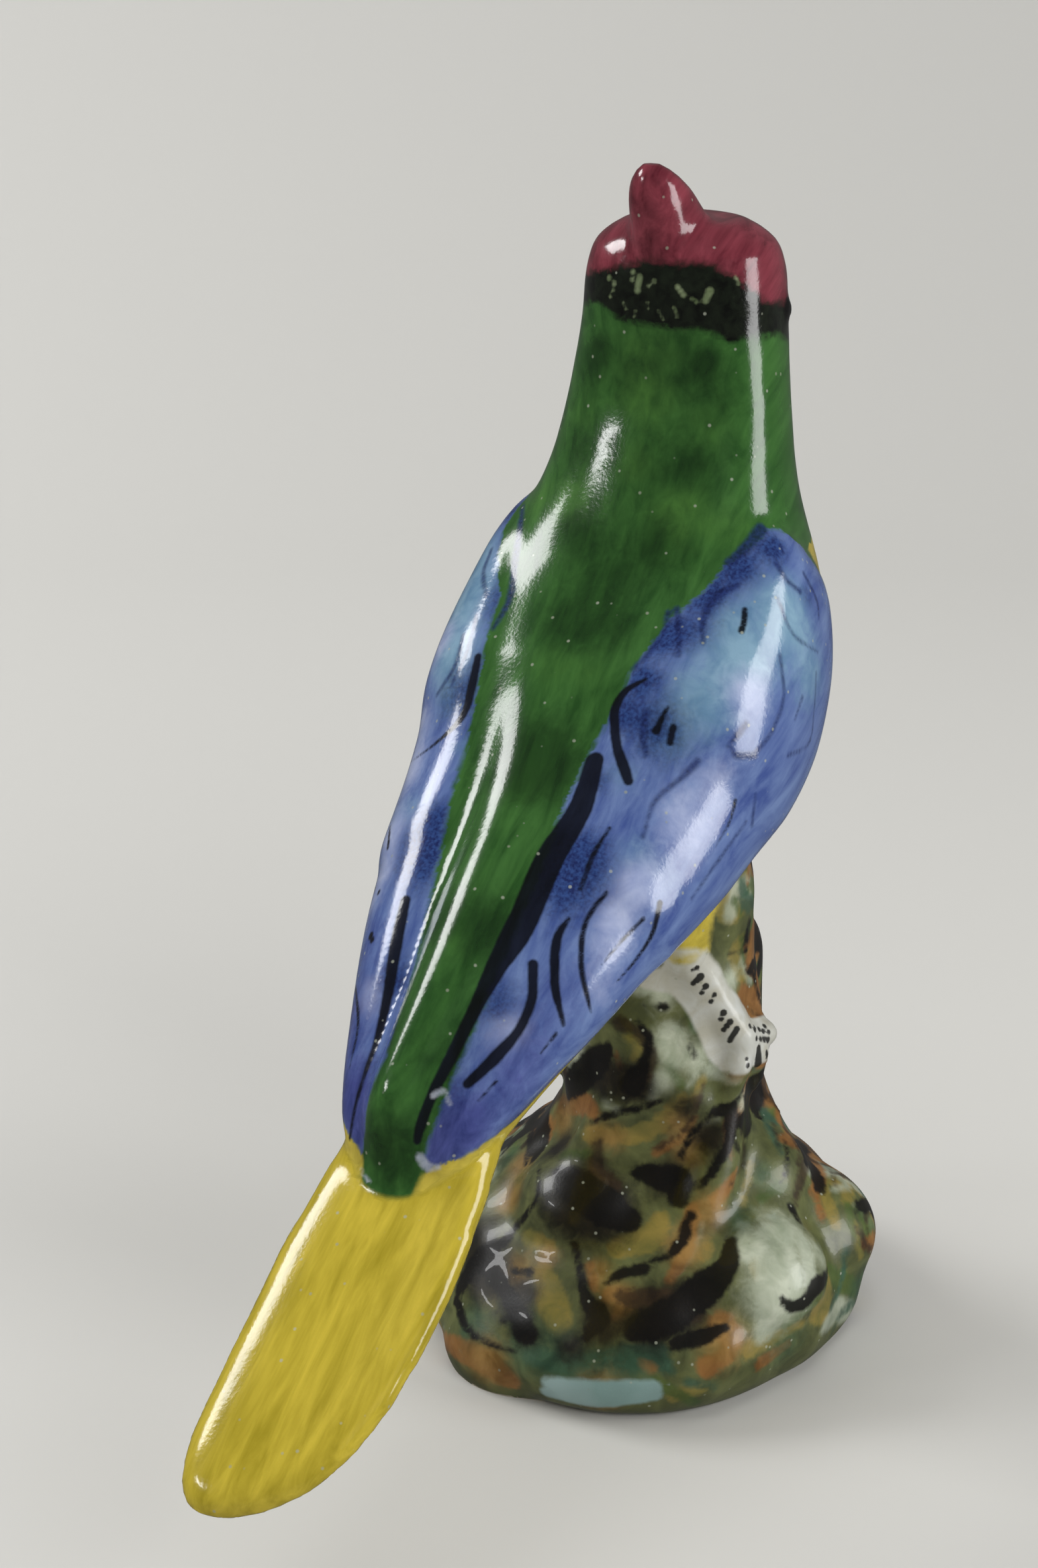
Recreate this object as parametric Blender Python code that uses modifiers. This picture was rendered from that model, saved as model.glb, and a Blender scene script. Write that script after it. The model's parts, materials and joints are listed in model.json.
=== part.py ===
"""Crested songbird figurine: one hollow slip-cast piece, glazed, perched on a rocky stump.

The bird faces -Y and its right wing lies at -X. The origin is the middle of the flat foot.
Sizes below are in millimetres, and every mesh is made in metres.
"""

import math

import bmesh
import bpy
import numpy as np
from mathutils import Vector, noise

MM = 0.001

# The foot and the rocky mound
FOOT_WIDTH = 46.0
FOOT_DEPTH = 47.0
MOUND_SWELL = 1.6
MOUND_HEIGHT = 20.0
ROCK_RELIEF = 1.1
ROCK_LUMP = 11.0

# The stump that carries the bird, and the broken branch in front of its breast
STUMP_WIDTH = 21.0
STUMP_FORWARD = 1.7
STUMP_RISE = 21.0
ROOT_TOP = 17.0
ROOT_LENGTH = 19.0
ROOT_FLARE = 5.5
BRANCH_WIDTH = 11.0
BRANCH_RISE = 46.0
BRANCH_FORWARD = 7.0
BRANCH_SIDE = 3.2

# The bird: heights are from the ground, forward is towards the beak
BELLY_HEIGHT = 62.0
HEAD_HEIGHT = 106.0
CROWN_RISE = 13.8
BREAST_WIDTH = 35.0
SHOULDER_WIDTH = 32.4
NECK_WIDTH = 24.7
HEAD_WIDTH = 21.4
HEAD_DEPTH = 17.4
FLANK_WIDTH = 25.0
RUMP_WIDTH = 15.6
BACK_DEPTH = 15.5
BREAST_DEPTH = 15.5

CREST_RISE = 11.2
CREST_SUNK = 4.0
CREST_WIDTH = 6.6
CREST_LENGTH = 13.0
CREST_LEAN = 6.5
CREST_TILT = 0.5
FACE_WIDTH = 16.0
BEAK_LENGTH = 10.5
BEAK_DEPTH = 8.8
BEAK_DROOP = 2.2
EYE_WIDTH = 3.6
BROW_WIDTH = 5.6

TAIL_BACK = 43.3
TAIL_DROP = 14.0
TAIL_SIDE = -0.45
TAIL_LENGTH = 44.8
TAIL_WIDTH = 17.6
TAIL_SKEW = 4.4
TAIL_THICKNESS = 4.6
TAIL_SLOPE = 34.0

WING_THICKNESS = 2.1
WING_SUNK = 1.5
FEATHER_STEP = 0.7
FEATHER_SLANT = 0.05
BACK_TURN = 4.0
RIDGE_WIDTH = 8.8
RIDGE_END_WIDTH = 5.6
RIDGE_HEIGHT = 2.4
RIDGE_SUNK = 2.5
RIDGE_START = 0.42

LEG_WIDTH = 4.4
LEG_BACK = 4.6
LEG_LENGTH = 10.5
TOE_WIDTH = 3.0
TOE_STAND = 0.7

# The cast wall, and the hole in the foot that the slip drained from
WALL = 3.6
HOLLOW_START = 0.12
HOLLOW_END = 0.96
THROAT_WIDTH = 8.0
VENT_WIDTH = 9.0
VENT_BACK = 12.0

# The faceted mesh
VOXEL = 1.0
OUTER_FACES = 9000
SMOOTH_STEPS = 4
CAVITY_VOXEL = 1.6
CAVITY_FACES = 1500
CAVITY_SMOOTH_STEPS = 3

# Boxes and drums that cut run this far past what they cut
SPARE = 4.0
GROUND_REACH = 90.0

GLAZE_COLOUR = (0.03, 0.12, 0.03, 1.0)
GLAZE_ROUGHNESS = 0.08
SHARP_EDGE = 60.0


def superellipse(angle, squareness):
    """Unit section at an angle from the back, 0 at the back and 90 degrees at the side."""
    side, back = math.sin(angle), math.cos(angle)
    power = 2.0 / squareness
    return (
        math.copysign(abs(side) ** power, side),
        math.copysign(abs(back) ** power, back),
    )


def smooth_rows(rows, positions):
    """Read a table of sections at the given places along it, on smooth curves."""
    rows = np.array(rows, float)
    step = np.hypot(np.diff(rows[:, 0]), np.diff(rows[:, 1]))
    along = np.concatenate([[0.0], np.cumsum(step)])
    slopes = np.diff(rows, axis=0) / step[:, None]
    tangents = np.vstack([slopes[:1], (slopes[:-1] + slopes[1:]) / 2, slopes[-1:]])
    flat = np.vstack([np.zeros((1, rows.shape[1])), slopes[:-1] * slopes[1:] <= 0,
                      np.zeros((1, rows.shape[1]))]).astype(bool)
    tangents[flat] = 0.0
    read = []
    for share in positions:
        place = min(max(share, 0.0), 1.0) * along[-1]
        i = min(int(np.searchsorted(along, place, side="right")) - 1, len(step) - 1)
        h = step[i]
        t = (place - along[i]) / h
        read.append(
            (2 * t**3 - 3 * t**2 + 1) * rows[i]
            + (t**3 - 2 * t**2 + t) * h * tangents[i]
            + (3 * t**2 - 2 * t**3) * rows[i + 1]
            + (t**3 - t**2) * h * tangents[i + 1]
        )
    return np.array(read)


def body_table():
    """Sections of the body from the rump to the crown.

    Each has its place forward and up, the lean of the spine in degrees, half the width,
    the depth to the back and to the breast, and how square the section is.
    """
    b = BELLY_HEIGHT
    h = HEAD_HEIGHT
    f = STUMP_FORWARD
    return [
        (f - 57.0, b - 23.0, 38, RUMP_WIDTH * 0.32, BACK_DEPTH * 0.27, BREAST_DEPTH * 0.21, 2.2),
        (f - 47.0, b - 15.0, 42, RUMP_WIDTH * 0.5, BACK_DEPTH * 0.52, BREAST_DEPTH * 0.28, 2.2),
        (f - 34.0, b - 6.5, 42, FLANK_WIDTH * 0.5, BACK_DEPTH * 0.8, BREAST_DEPTH * 0.45, 2.2),
        (f - 20.0, b, 46, BREAST_WIDTH * 0.455, BACK_DEPTH, BREAST_DEPTH * 0.68, 2.2),
        (f - 8.5, b + 10.0, 56, BREAST_WIDTH / 2, BACK_DEPTH * 1.05, BREAST_DEPTH * 0.96, 2.2),
        (f - 2.0, b + 22.0, 68, SHOULDER_WIDTH / 2, BACK_DEPTH * 0.8, BREAST_DEPTH, 2.2),
        (f + 0.4, h - 11.0, 80, NECK_WIDTH / 2, BACK_DEPTH * 0.62, BREAST_DEPTH * 0.74, 2.3),
        (f + 1.8, h - 2.0, 86, HEAD_WIDTH * 0.5, HEAD_DEPTH * 0.46, HEAD_DEPTH * 0.53, 2.4),
        (f + 2.2, h + CROWN_RISE * 0.3, 88, HEAD_WIDTH * 0.462, HEAD_DEPTH * 0.46, HEAD_DEPTH * 0.58, 2.3),
        (f + 2.2, h + CROWN_RISE * 0.66, 90, HEAD_WIDTH * 0.441, HEAD_DEPTH * 0.44, HEAD_DEPTH * 0.56, 2.3),
        (f + 2.2, h + CROWN_RISE * 0.85, 90, HEAD_WIDTH * 0.39, HEAD_DEPTH * 0.38, HEAD_DEPTH * 0.46, 2.2),
        (f + 2.2, h + CROWN_RISE * 0.97, 90, HEAD_WIDTH * 0.26, HEAD_DEPTH * 0.25, HEAD_DEPTH * 0.3, 2.2),
    ]


def eye_level():
    """The section of the head that the eyes and the beak lie on."""
    return body_table()[-4]


def section_point(row, angle, lift=0.0):
    """A point on one section, moved outward by lift."""
    forward, up, lean, half, back, breast, squareness = row
    x, y = superellipse(angle, squareness)
    x *= half + lift
    y *= (back if y > 0 else breast) + lift
    tilt = math.radians(lean)
    return Vector((x, -(forward - math.sin(tilt) * y), up + math.cos(tilt) * y))


def ring_solid(name, rings):
    """A closed solid skinned over rings of points in millimetres."""
    bm = bmesh.new()
    loops = [[bm.verts.new(Vector(point) * MM) for point in ring] for ring in rings]
    for lower, upper in zip(loops, loops[1:]):
        for i in range(len(lower)):
            j = (i + 1) % len(lower)
            bm.faces.new((lower[i], lower[j], upper[j], upper[i]))
    bm.faces.new(list(reversed(loops[0])))
    bm.faces.new(loops[-1])
    bmesh.ops.recalc_face_normals(bm, faces=bm.faces)
    mesh = bpy.data.meshes.new(name)
    bm.to_mesh(mesh)
    bm.free()
    return bpy.data.objects.new(name, mesh)


def body(inset=0.0, first=0.0, last=1.0, count=44, around=48):
    rows = smooth_rows(body_table(), np.linspace(first, last, count))
    angles = np.linspace(0.0, 2 * math.pi, around, endpoint=False)
    return ring_solid("body", [[section_point(r, a, -inset) for a in angles] for r in rows])


def ball(name, centre, radii, turn=(0.0, 0.0, 0.0)):
    mesh = bpy.data.meshes.new(name)
    bm = bmesh.new()
    bmesh.ops.create_icosphere(bm, subdivisions=3, radius=1.0)
    bmesh.ops.scale(bm, vec=Vector(radii) * MM, verts=bm.verts)
    bm.to_mesh(mesh)
    bm.free()
    made = bpy.data.objects.new(name, mesh)
    made.location = Vector(centre) * MM
    made.rotation_euler = [math.radians(a) for a in turn]
    return made


def tube(name, points, radii, around=16):
    """A round tapering limb along a few points, with round ends."""
    points = [Vector(p) for p in points]
    rings = []
    ends = (0.97, 0.72, 0.4)
    for i, (point, radius) in enumerate(zip(points, radii)):
        ahead = points[min(i + 1, len(points) - 1)] - points[max(i - 1, 0)]
        ahead.normalize()
        side = ahead.cross(Vector((0.0, 0.0, 1.0)))
        if side.length < 0.1:
            side = Vector((1.0, 0.0, 0.0))
        side.normalize()
        other = ahead.cross(side)
        steps = [(0.0, 1.0)]
        if i == 0:
            steps = [(-share, math.sqrt(1 - share**2)) for share in ends] + steps
        if i == len(points) - 1:
            steps = steps + [(share, math.sqrt(1 - share**2)) for share in reversed(ends)]
        for shift, size in steps:
            centre = point + ahead * radius * shift
            rings.append([
                centre + (side * math.cos(a) + other * math.sin(a)) * radius * size
                for a in np.linspace(0.0, 2 * math.pi, around, endpoint=False)
            ])
    return ring_solid(name, rings)


# Where the wing lies on the body: along it from the shoulder to the tip, then the
# angles of its inner and its lower edge, in degrees from the middle of the back.
WING_EDGES = [
    (0.735, 70, 78),
    (0.720, 56, 94),
    (0.690, 42, 108),
    (0.620, 27, 122),
    (0.550, 21, 122),
    (0.480, 20, 114),
    (0.420, 19, 105),
    (0.360, 18.5, 101),
    (0.300, 18.5, 100),
    (0.200, 19, 98),
    (0.120, 21, 90),
    (0.070, 25, 74),
    (0.045, 36, 56),
]

# Where the two upper rows of feathers end, along the body.
FEATHER_ENDS = (0.46, 0.30)


def wing(side):
    """A wing: a feathered pad that hugs the body, in three overlapping rows of feathers."""
    lengthwise, across = 54, 24
    edges = np.array(WING_EDGES, float)
    at = np.linspace(0.0, 1.0, len(edges))
    starts = (edges[0, 0],) + FEATHER_ENDS
    ends = FEATHER_ENDS + (edges[-1, 0],)
    rings = []
    for t in np.linspace(0.0, 1.0, lengthwise):
        place, inner, lower = (np.interp(t, at, column) for column in edges.T)
        row = smooth_rows(body_table(), [place])[0]
        fade = math.sin(math.pi * min(max(t, 0.02), 0.98)) ** 0.3
        outer, under = [], []
        for share in np.linspace(0.0, 1.0, across):
            angle = math.radians(side * (inner + (lower - inner) * share) + BACK_TURN)
            slant = place + FEATHER_SLANT * (share - 0.5)
            tier = sum(slant < end for end in FEATHER_ENDS)
            along = (starts[tier] - slant) / (starts[tier] - ends[tier])
            rounding = 5 if share < 0.5 else 2.4
            rim = math.sqrt(1 - abs(2 * share - 1) ** rounding) * (0.55 + 0.45 * min(share * 3.0, 1.0))
            lift = (WING_THICKNESS + FEATHER_STEP * (along - 0.5)) * rim * fade
            outer.append(section_point(row, angle, lift))
            under.append(section_point(row, angle, -WING_SUNK))
        rings.append(outer + list(reversed(under)))
    return ring_solid("wing", rings)


def rump_ridge():
    """The rounded ridge of long back feathers that runs down between the wing tips."""
    rings = []
    for t in np.sin(np.linspace(0.0, math.pi / 2, 34)):
        row = smooth_rows(body_table(), [RIDGE_START * (1 - t)])[0]
        crown = section_point(row, math.radians(BACK_TURN * (1 - t)))
        round_off = math.sqrt(1 - max((t - 0.93) / 0.07, 0.0) ** 2 * 0.98)
        half = (RIDGE_WIDTH + (RIDGE_END_WIDTH - RIDGE_WIDTH) * t) / 2 * round_off
        rise = (RIDGE_HEIGHT * math.sin(t * math.pi / 2) + RIDGE_SUNK) * round_off
        tilt = math.radians(row[2])
        up = Vector((0.0, math.sin(tilt), math.cos(tilt)))
        rings.append([
            crown + Vector((math.cos(a) * half, 0.0, 0.0)) + up * (math.sin(a) * rise - RIDGE_SUNK)
            for a in np.linspace(0.0, 2 * math.pi, 20, endpoint=False)
        ])
    return ring_solid("rump_ridge", rings)


def tail():
    """The long paddle of the tail, from under the rump to its rounded, slanting tip."""
    slope = math.radians(TAIL_SLOPE)
    root = Vector((TAIL_SIDE, TAIL_BACK, BELLY_HEIGHT - TAIL_DROP))
    along = Vector((0.0, math.cos(slope), -math.sin(slope)))
    up = Vector((0.0, math.sin(slope), math.cos(slope)))
    places = [0.0, 0.12, 0.25, 0.45, 0.68, 0.80, 0.88, 0.95, 0.985, 1.0]
    spread = [0.66, 0.80, 0.91, 1.0, 0.95, 0.86, 0.74, 0.50, 0.28, 0.06]
    rings = []
    for t in np.sin(np.linspace(0.0, math.pi / 2, 34)):
        half = TAIL_WIDTH / 2 * np.interp(t, places, spread)
        round_off = math.sqrt(1 - max((t - 0.9) / 0.1, 0.0) ** 2 * 0.95)
        thick = TAIL_THICKNESS / 2 * (1.0 - 0.25 * t) * round_off
        centre = root + along * (TAIL_LENGTH * t) + Vector((TAIL_SKEW * t**6, 0.0, 0.0))
        ring = []
        for a in np.linspace(0.0, 2 * math.pi, 28, endpoint=False):
            x, y = superellipse(a, 2.8)
            ring.append(centre + Vector((x * half, 0.0, 0.0)) + up * (y * thick))
        rings.append(ring)
    return ring_solid("tail", rings)


def crest():
    """The crest: a blunt upright tuft that leans back over the nape."""
    forward, crown = body_table()[-1][:2]
    rings = []
    for t in np.sin(np.linspace(0.0, math.pi / 2, 16)):
        rise = crown - CREST_SUNK + (CREST_RISE - 1.0) * t
        lean = forward - 0.6 - CREST_LEAN * t
        round_off = math.sqrt(max(1 - max((t - 0.62) / 0.38, 0.0) ** 2, 0.02))
        half = CREST_WIDTH / 2 * (1.2 - 0.45 * t) * round_off
        length = CREST_LENGTH / 2 * (1.1 - 0.75 * t) * round_off
        rings.append([
            (CREST_TILT * t + math.cos(a) * half, -(lean + math.sin(a) * length), rise)
            for a in np.linspace(0.0, 2 * math.pi, 20, endpoint=False)
        ])
    return ring_solid("crest", rings)


def beak():
    """The short stout beak, a cone that droops a little to its tip."""
    forward, rise = eye_level()[:2]
    rings = []
    for t in np.linspace(0.0, 1.0, 10):
        size = (1 - t) ** 0.6 * 0.88 + 0.12
        rings.append([
            (math.cos(a) * BEAK_DEPTH * 0.44 * size,
             -(forward + HEAD_DEPTH * 0.46 + BEAK_LENGTH * t),
             rise - 1.0 - BEAK_DROOP * t * t + math.sin(a) * BEAK_DEPTH / 2 * size)
            for a in np.linspace(0.0, 2 * math.pi, 18, endpoint=False)
        ])
    return ring_solid("beak", rings)


def face():
    """The rounded front of the head, and the eye and the brow on each side of it."""
    forward, rise, _, half = eye_level()[:4]
    front = forward + HEAD_DEPTH * 0.24
    made = [ball("cheeks", (0.0, -front, rise - 0.5), (FACE_WIDTH / 2, HEAD_DEPTH * 0.42, FACE_WIDTH * 0.48))]
    for side in (-1, 1):
        made.append(ball("eye", (side * (half - EYE_WIDTH * 0.42), -(forward + 2.8), rise + 0.6),
                         [EYE_WIDTH / 2] * 3))
        made.append(ball("brow", (side * (half - BROW_WIDTH * 0.75), -(forward + 3.6), rise + 4.4),
                         (BROW_WIDTH / 2, BROW_WIDTH * 0.75, BROW_WIDTH / 2)))
    return made


def rock_rings(inset=0.0, levels=30, around=60):
    """Rings of the rocky mound and of the stump that rises out of it to the belly.

    Each level has its height, how far it has moved from the foot to the stump, and half its
    width and depth.
    """
    stump = STUMP_WIDTH / 2
    top = MOUND_HEIGHT + STUMP_RISE
    wide, deep, swell = FOOT_WIDTH / 2, FOOT_DEPTH / 2, MOUND_SWELL
    table = [
        (0.0, 0.0, wide, deep),
        (MOUND_HEIGHT * 0.10, 0.0, wide + swell * 0.8, deep + swell * 0.8),
        (MOUND_HEIGHT * 0.25, 0.0, wide + swell, deep + swell),
        (MOUND_HEIGHT * 0.42, 0.1, wide + swell * 0.3, deep + swell * 0.3),
        (MOUND_HEIGHT * 0.70, 0.4, wide * 0.85, deep * 0.85),
        (MOUND_HEIGHT * 0.90, 0.8, wide * 0.66, deep * 0.66),
        (MOUND_HEIGHT, 1.0, wide * 0.55, deep * 0.55),
        (MOUND_HEIGHT + 5.0, 1.0, stump, stump),
        (top, 1.0, stump * 0.98, stump * 0.98),
        (BELLY_HEIGHT - 13.0, 1.0, stump * 0.92, stump * 0.92),
        (BELLY_HEIGHT - 5.0, 1.0, stump * 0.84, stump * 0.84),
        (BELLY_HEIGHT + 2.0, 1.0, stump * 0.62, stump * 0.62),
    ]
    heights, moved, wide, deep = (np.array(column) for column in zip(*table))
    rings = []
    for z in np.linspace(inset, heights[-1] - inset * 0.3, levels):
        half_wide = np.interp(z, heights, wide) - inset
        half_deep = np.interp(z, heights, deep) - inset
        forward = np.interp(z, heights, moved) * STUMP_FORWARD
        ring = []
        for a in np.linspace(0.0, 2 * math.pi, around, endpoint=False):
            outward = Vector((math.cos(a), math.sin(a), 0.0))
            point = Vector((outward.x * half_wide, outward.y * half_deep - forward, z))
            if not inset:
                rough = noise.fractal(point / ROCK_LUMP + Vector((3.1, 0.7, 5.2)), 0.6, 2.0, 3)
                point += outward * (rough * ROCK_RELIEF * 1.6 * min(z / 4.0, 1.0))
            ring.append(point)
        rings.append(ring)
    return rings


# Boulders round the mound: direction in degrees from +X, distance out, height, size.
BOULDERS = [
    (73, 15.5, 2.5, 10.5),
    (20, 14.0, 5.0, 10.0),
    (118, 14.5, 8.0, 8.5),
    (160, 14.5, 10.5, 9.5),
    (206, 14.8, 8.0, 10.8),
    (200, 8.5, 16.5, 8.6),
    (255, 13.0, 9.0, 9.0),
    (305, 14.0, 6.0, 9.5),
    (345, 8.5, 15.0, 8.5),
    (85, 9.5, 15.5, 7.5),
]

# Roots down the stump: direction at the top, at the foot, and how thick.
ROOTS = [(172, 128, 2.6), (230, 222, 2.8), (100, 62, 2.4), (15, 350, 2.8), (300, 285, 2.6)]

# Toes: how far each goes round the stump from the ankle towards the front, and down it.
TOES = [(-10, 7.5), (16, 6.5), (38, 3.0)]


def boulders():
    made = []
    for turn, out, height, size in BOULDERS:
        a = math.radians(turn)
        centre = (math.cos(a) * out, math.sin(a) * out, height)
        made.append(ball("boulder", centre, (size, size * 0.92, size * 0.72), (0, 0, turn)))
    return made


def roots():
    made = []
    for top_turn, foot_turn, size in ROOTS:
        points = []
        for share in (0.0, 0.35, 0.7, 1.0):
            a = math.radians(top_turn + (foot_turn - top_turn) * share**1.5)
            out = STUMP_WIDTH / 2 - size * 0.55 + ROOT_FLARE * share**2.2
            height = MOUND_HEIGHT + ROOT_TOP - ROOT_LENGTH * share
            points.append((math.cos(a) * out, math.sin(a) * out - STUMP_FORWARD, height))
        made.append(tube("root", points, [size * 0.7, size, size * 1.15, size * 1.3]))
    return made


def branch():
    """The broken branch that stands in front of the breast, on the bird's right."""
    x, y = -BRANCH_SIDE, -STUMP_FORWARD - BRANCH_FORWARD
    half = BRANCH_WIDTH / 2
    heights = [MOUND_HEIGHT - 4.0, BRANCH_RISE * 0.8, BRANCH_RISE - half]
    return tube("branch", [(x, y, z) for z in heights], [half * 1.1, half, half])


def on_stump(side, turn, height):
    """A place where a toe lies on the stump: turn is from the bird's side towards its front."""
    reach = STUMP_WIDTH / 2 + TOE_STAND
    a = math.radians(turn)
    return Vector((side * math.cos(a) * reach, -math.sin(a) * reach - STUMP_FORWARD, height))


def legs(side):
    """One leg, from its feathered thigh to the three toes that grip the stump."""
    grip = STUMP_WIDTH / 2
    knee = Vector((side * grip * 0.74, LEG_BACK, BELLY_HEIGHT - 16.0))
    hip = knee + Vector((-1.2 * side, -1.0, 8.0))
    ankle_turn = -15.0
    ankle = on_stump(side, ankle_turn, knee.z - LEG_LENGTH)
    made = [
        tube("thigh", [hip, knee], [LEG_WIDTH * 1.15, LEG_WIDTH * 0.62]),
        tube("leg", [knee, (knee + ankle) / 2 + Vector((0.8 * side, 0.0, 0.0)), ankle],
             [LEG_WIDTH * 0.6, LEG_WIDTH / 2, LEG_WIDTH / 2]),
    ]
    for turn, drop in TOES:
        knuckle = on_stump(side, ankle_turn + turn * 0.6, ankle.z - drop * 0.35)
        knuckle.x += 0.8 * side
        end = on_stump(side, ankle_turn + turn, ankle.z - drop)
        made.append(tube("toe", [ankle, knuckle, end], [TOE_WIDTH / 2, TOE_WIDTH / 2, TOE_WIDTH * 0.36]))
    return made


def fuse(name, objects, voxel, faces, smooth_steps):
    """Cast several overlapping solids into one: remesh, smooth, then thin the faces."""
    collection = bpy.data.collections["songbird_figurine"]
    bm = bmesh.new()
    for thing in objects:
        copy = thing.data.copy()
        copy.transform(thing.matrix_basis)
        bm.from_mesh(copy)
        bpy.data.meshes.remove(copy)
        bpy.data.objects.remove(thing)
    mesh = bpy.data.meshes.new(name)
    bm.to_mesh(mesh)
    bm.free()
    made = bpy.data.objects.new(name, mesh)
    collection.objects.link(made)
    remesh = made.modifiers.new("one_skin", "REMESH")
    remesh.mode = "VOXEL"
    remesh.voxel_size = voxel * MM
    soften = made.modifiers.new("soften", "SMOOTH")
    soften.factor = 0.5
    soften.iterations = smooth_steps
    settle(made)
    thin = made.modifiers.new("thin_out", "DECIMATE")
    made.data.calc_loop_triangles()
    thin.ratio = min(faces / max(len(made.data.loop_triangles), 1), 1.0)
    settle(made)
    return made


def settle(thing):
    """Turn an object's modifiers into its mesh."""
    bpy.context.view_layer.update()
    graph = bpy.context.evaluated_depsgraph_get()
    mesh = bpy.data.meshes.new_from_object(thing.evaluated_get(graph))
    thing.modifiers.clear()
    old = thing.data
    thing.data = mesh
    bpy.data.meshes.remove(old)


def cut(thing, cutter, name):
    """Take a cutter out of the figurine."""
    cutters = bpy.data.collections["cutters"]
    for holder in list(cutter.users_collection):
        holder.objects.unlink(cutter)
    cutters.objects.link(cutter)
    cutter.hide_render = True
    cutter.display_type = "WIRE"
    knife = thing.modifiers.new(name, "BOOLEAN")
    knife.operation = "DIFFERENCE"
    knife.object = cutter


def box(name, low, high):
    mesh = bpy.data.meshes.new(name)
    bm = bmesh.new()
    bmesh.ops.create_cube(bm, size=1.0)
    low, high = Vector(low), Vector(high)
    size = high - low
    bmesh.ops.scale(bm, vec=size * MM, verts=bm.verts)
    bmesh.ops.translate(bm, vec=(low + high) / 2 * MM, verts=bm.verts)
    bm.to_mesh(mesh)
    bm.free()
    return bpy.data.objects.new(name, mesh)


def drum(name, centre, radius, bottom, top, sides=32):
    mesh = bpy.data.meshes.new(name)
    bm = bmesh.new()
    bmesh.ops.create_cone(bm, cap_ends=True, segments=sides, radius1=radius * MM,
                          radius2=radius * MM, depth=(top - bottom) * MM)
    bm.to_mesh(mesh)
    bm.free()
    made = bpy.data.objects.new(name, mesh)
    made.location = Vector((centre[0], centre[1], (bottom + top) / 2)) * MM
    return made


def glaze():
    finish = bpy.data.materials.new("glazed_porcelain")
    finish.use_nodes = True
    shader = finish.node_tree.nodes["Principled BSDF"]
    shader.inputs["Base Color"].default_value = GLAZE_COLOUR
    shader.inputs["Roughness"].default_value = GLAZE_ROUGHNESS
    shader.inputs["Metallic"].default_value = 0.0
    return finish


def main():
    for thing in list(bpy.data.objects):
        bpy.data.objects.remove(thing)
    for name in ("songbird_figurine", "cutters"):
        bpy.context.scene.collection.children.link(bpy.data.collections.new(name))

    forms = [body(), wing(-1), wing(1), rump_ridge(), tail(), crest(), beak(), branch()]
    forms += [ring_solid("rock", rock_rings())] + boulders() + roots()
    forms += face() + legs(-1) + legs(1)
    bird = fuse("songbird_figurine", forms, VOXEL, OUTER_FACES, SMOOTH_STEPS)

    throat = drum("throat", (0.0, -STUMP_FORWARD), THROAT_WIDTH / 2, MOUND_HEIGHT, BELLY_HEIGHT + SPARE)
    hollow = [body(WALL, HOLLOW_START, HOLLOW_END, 24, 20), throat]
    hollow.append(ring_solid("rock_hollow", rock_rings(WALL, 12, 24)))
    cavity = fuse("cavity", hollow, CAVITY_VOXEL, CAVITY_FACES, CAVITY_SMOOTH_STEPS)

    ground = box("ground", (-GROUND_REACH, -GROUND_REACH, -GROUND_REACH), (GROUND_REACH, GROUND_REACH, 0))
    cut(bird, ground, "flat_foot")
    cut(bird, cavity, "cast_hollow")
    cut(bird, drum("vent", (0.0, VENT_BACK), VENT_WIDTH / 2, -SPARE, WALL + SPARE), "vent_hole")
    bird.data.materials.clear()
    bird.data.materials.append(glaze())
    bird.data.shade_smooth()
    bird.data.set_sharp_from_angle(angle=math.radians(SHARP_EDGE))


main()
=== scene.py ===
# %% [markdown]
# A porcelain songbird seen from behind and above. The real one is a single hollow piece: slip is
# poured into a plaster mould, the raw cast is fired, painted by hand under the glaze, and fired
# again. So this lesson makes one closed skin, maps where the painter's brush went, and lets a
# single glazed material read that map.

# %% Load the frame
import json
import math

import bmesh
import bpy
import numpy as np
from mathutils import Matrix, Vector, noise
from mathutils.bvhtree import BVHTree
from mathutils.kdtree import KDTree

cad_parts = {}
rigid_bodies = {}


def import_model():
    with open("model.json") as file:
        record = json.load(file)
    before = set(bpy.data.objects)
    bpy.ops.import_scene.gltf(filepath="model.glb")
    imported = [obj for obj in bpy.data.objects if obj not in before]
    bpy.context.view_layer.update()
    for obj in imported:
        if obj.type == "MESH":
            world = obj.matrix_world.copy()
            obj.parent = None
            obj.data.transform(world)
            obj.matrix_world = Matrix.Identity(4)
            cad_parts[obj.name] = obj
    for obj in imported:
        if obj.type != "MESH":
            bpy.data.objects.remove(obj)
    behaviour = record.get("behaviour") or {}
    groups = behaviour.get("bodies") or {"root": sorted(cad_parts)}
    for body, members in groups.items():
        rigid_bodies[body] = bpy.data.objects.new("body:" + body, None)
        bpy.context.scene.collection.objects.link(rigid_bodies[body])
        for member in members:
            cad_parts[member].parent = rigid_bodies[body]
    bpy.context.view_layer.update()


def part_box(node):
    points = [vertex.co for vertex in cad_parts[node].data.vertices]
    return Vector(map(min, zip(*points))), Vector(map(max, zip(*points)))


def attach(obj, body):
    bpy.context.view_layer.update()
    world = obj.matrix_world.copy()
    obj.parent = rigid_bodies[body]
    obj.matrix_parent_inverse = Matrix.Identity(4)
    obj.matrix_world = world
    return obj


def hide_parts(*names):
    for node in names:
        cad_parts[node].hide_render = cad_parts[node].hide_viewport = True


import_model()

MM = 0.001
cad_low, cad_high = (np.array(corner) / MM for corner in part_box("songbird_figurine"))
print("cast piece, mm:", np.round(cad_high - cad_low, 1))

# %% [markdown]
# The camera comes first, because the painter's marks are placed by where they show in it. It
# looks down at 22 degrees on the bird's back, from its right. Places in the picture are counted
# in pixels of a 1568 by 2369 frame, from the top left.

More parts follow.
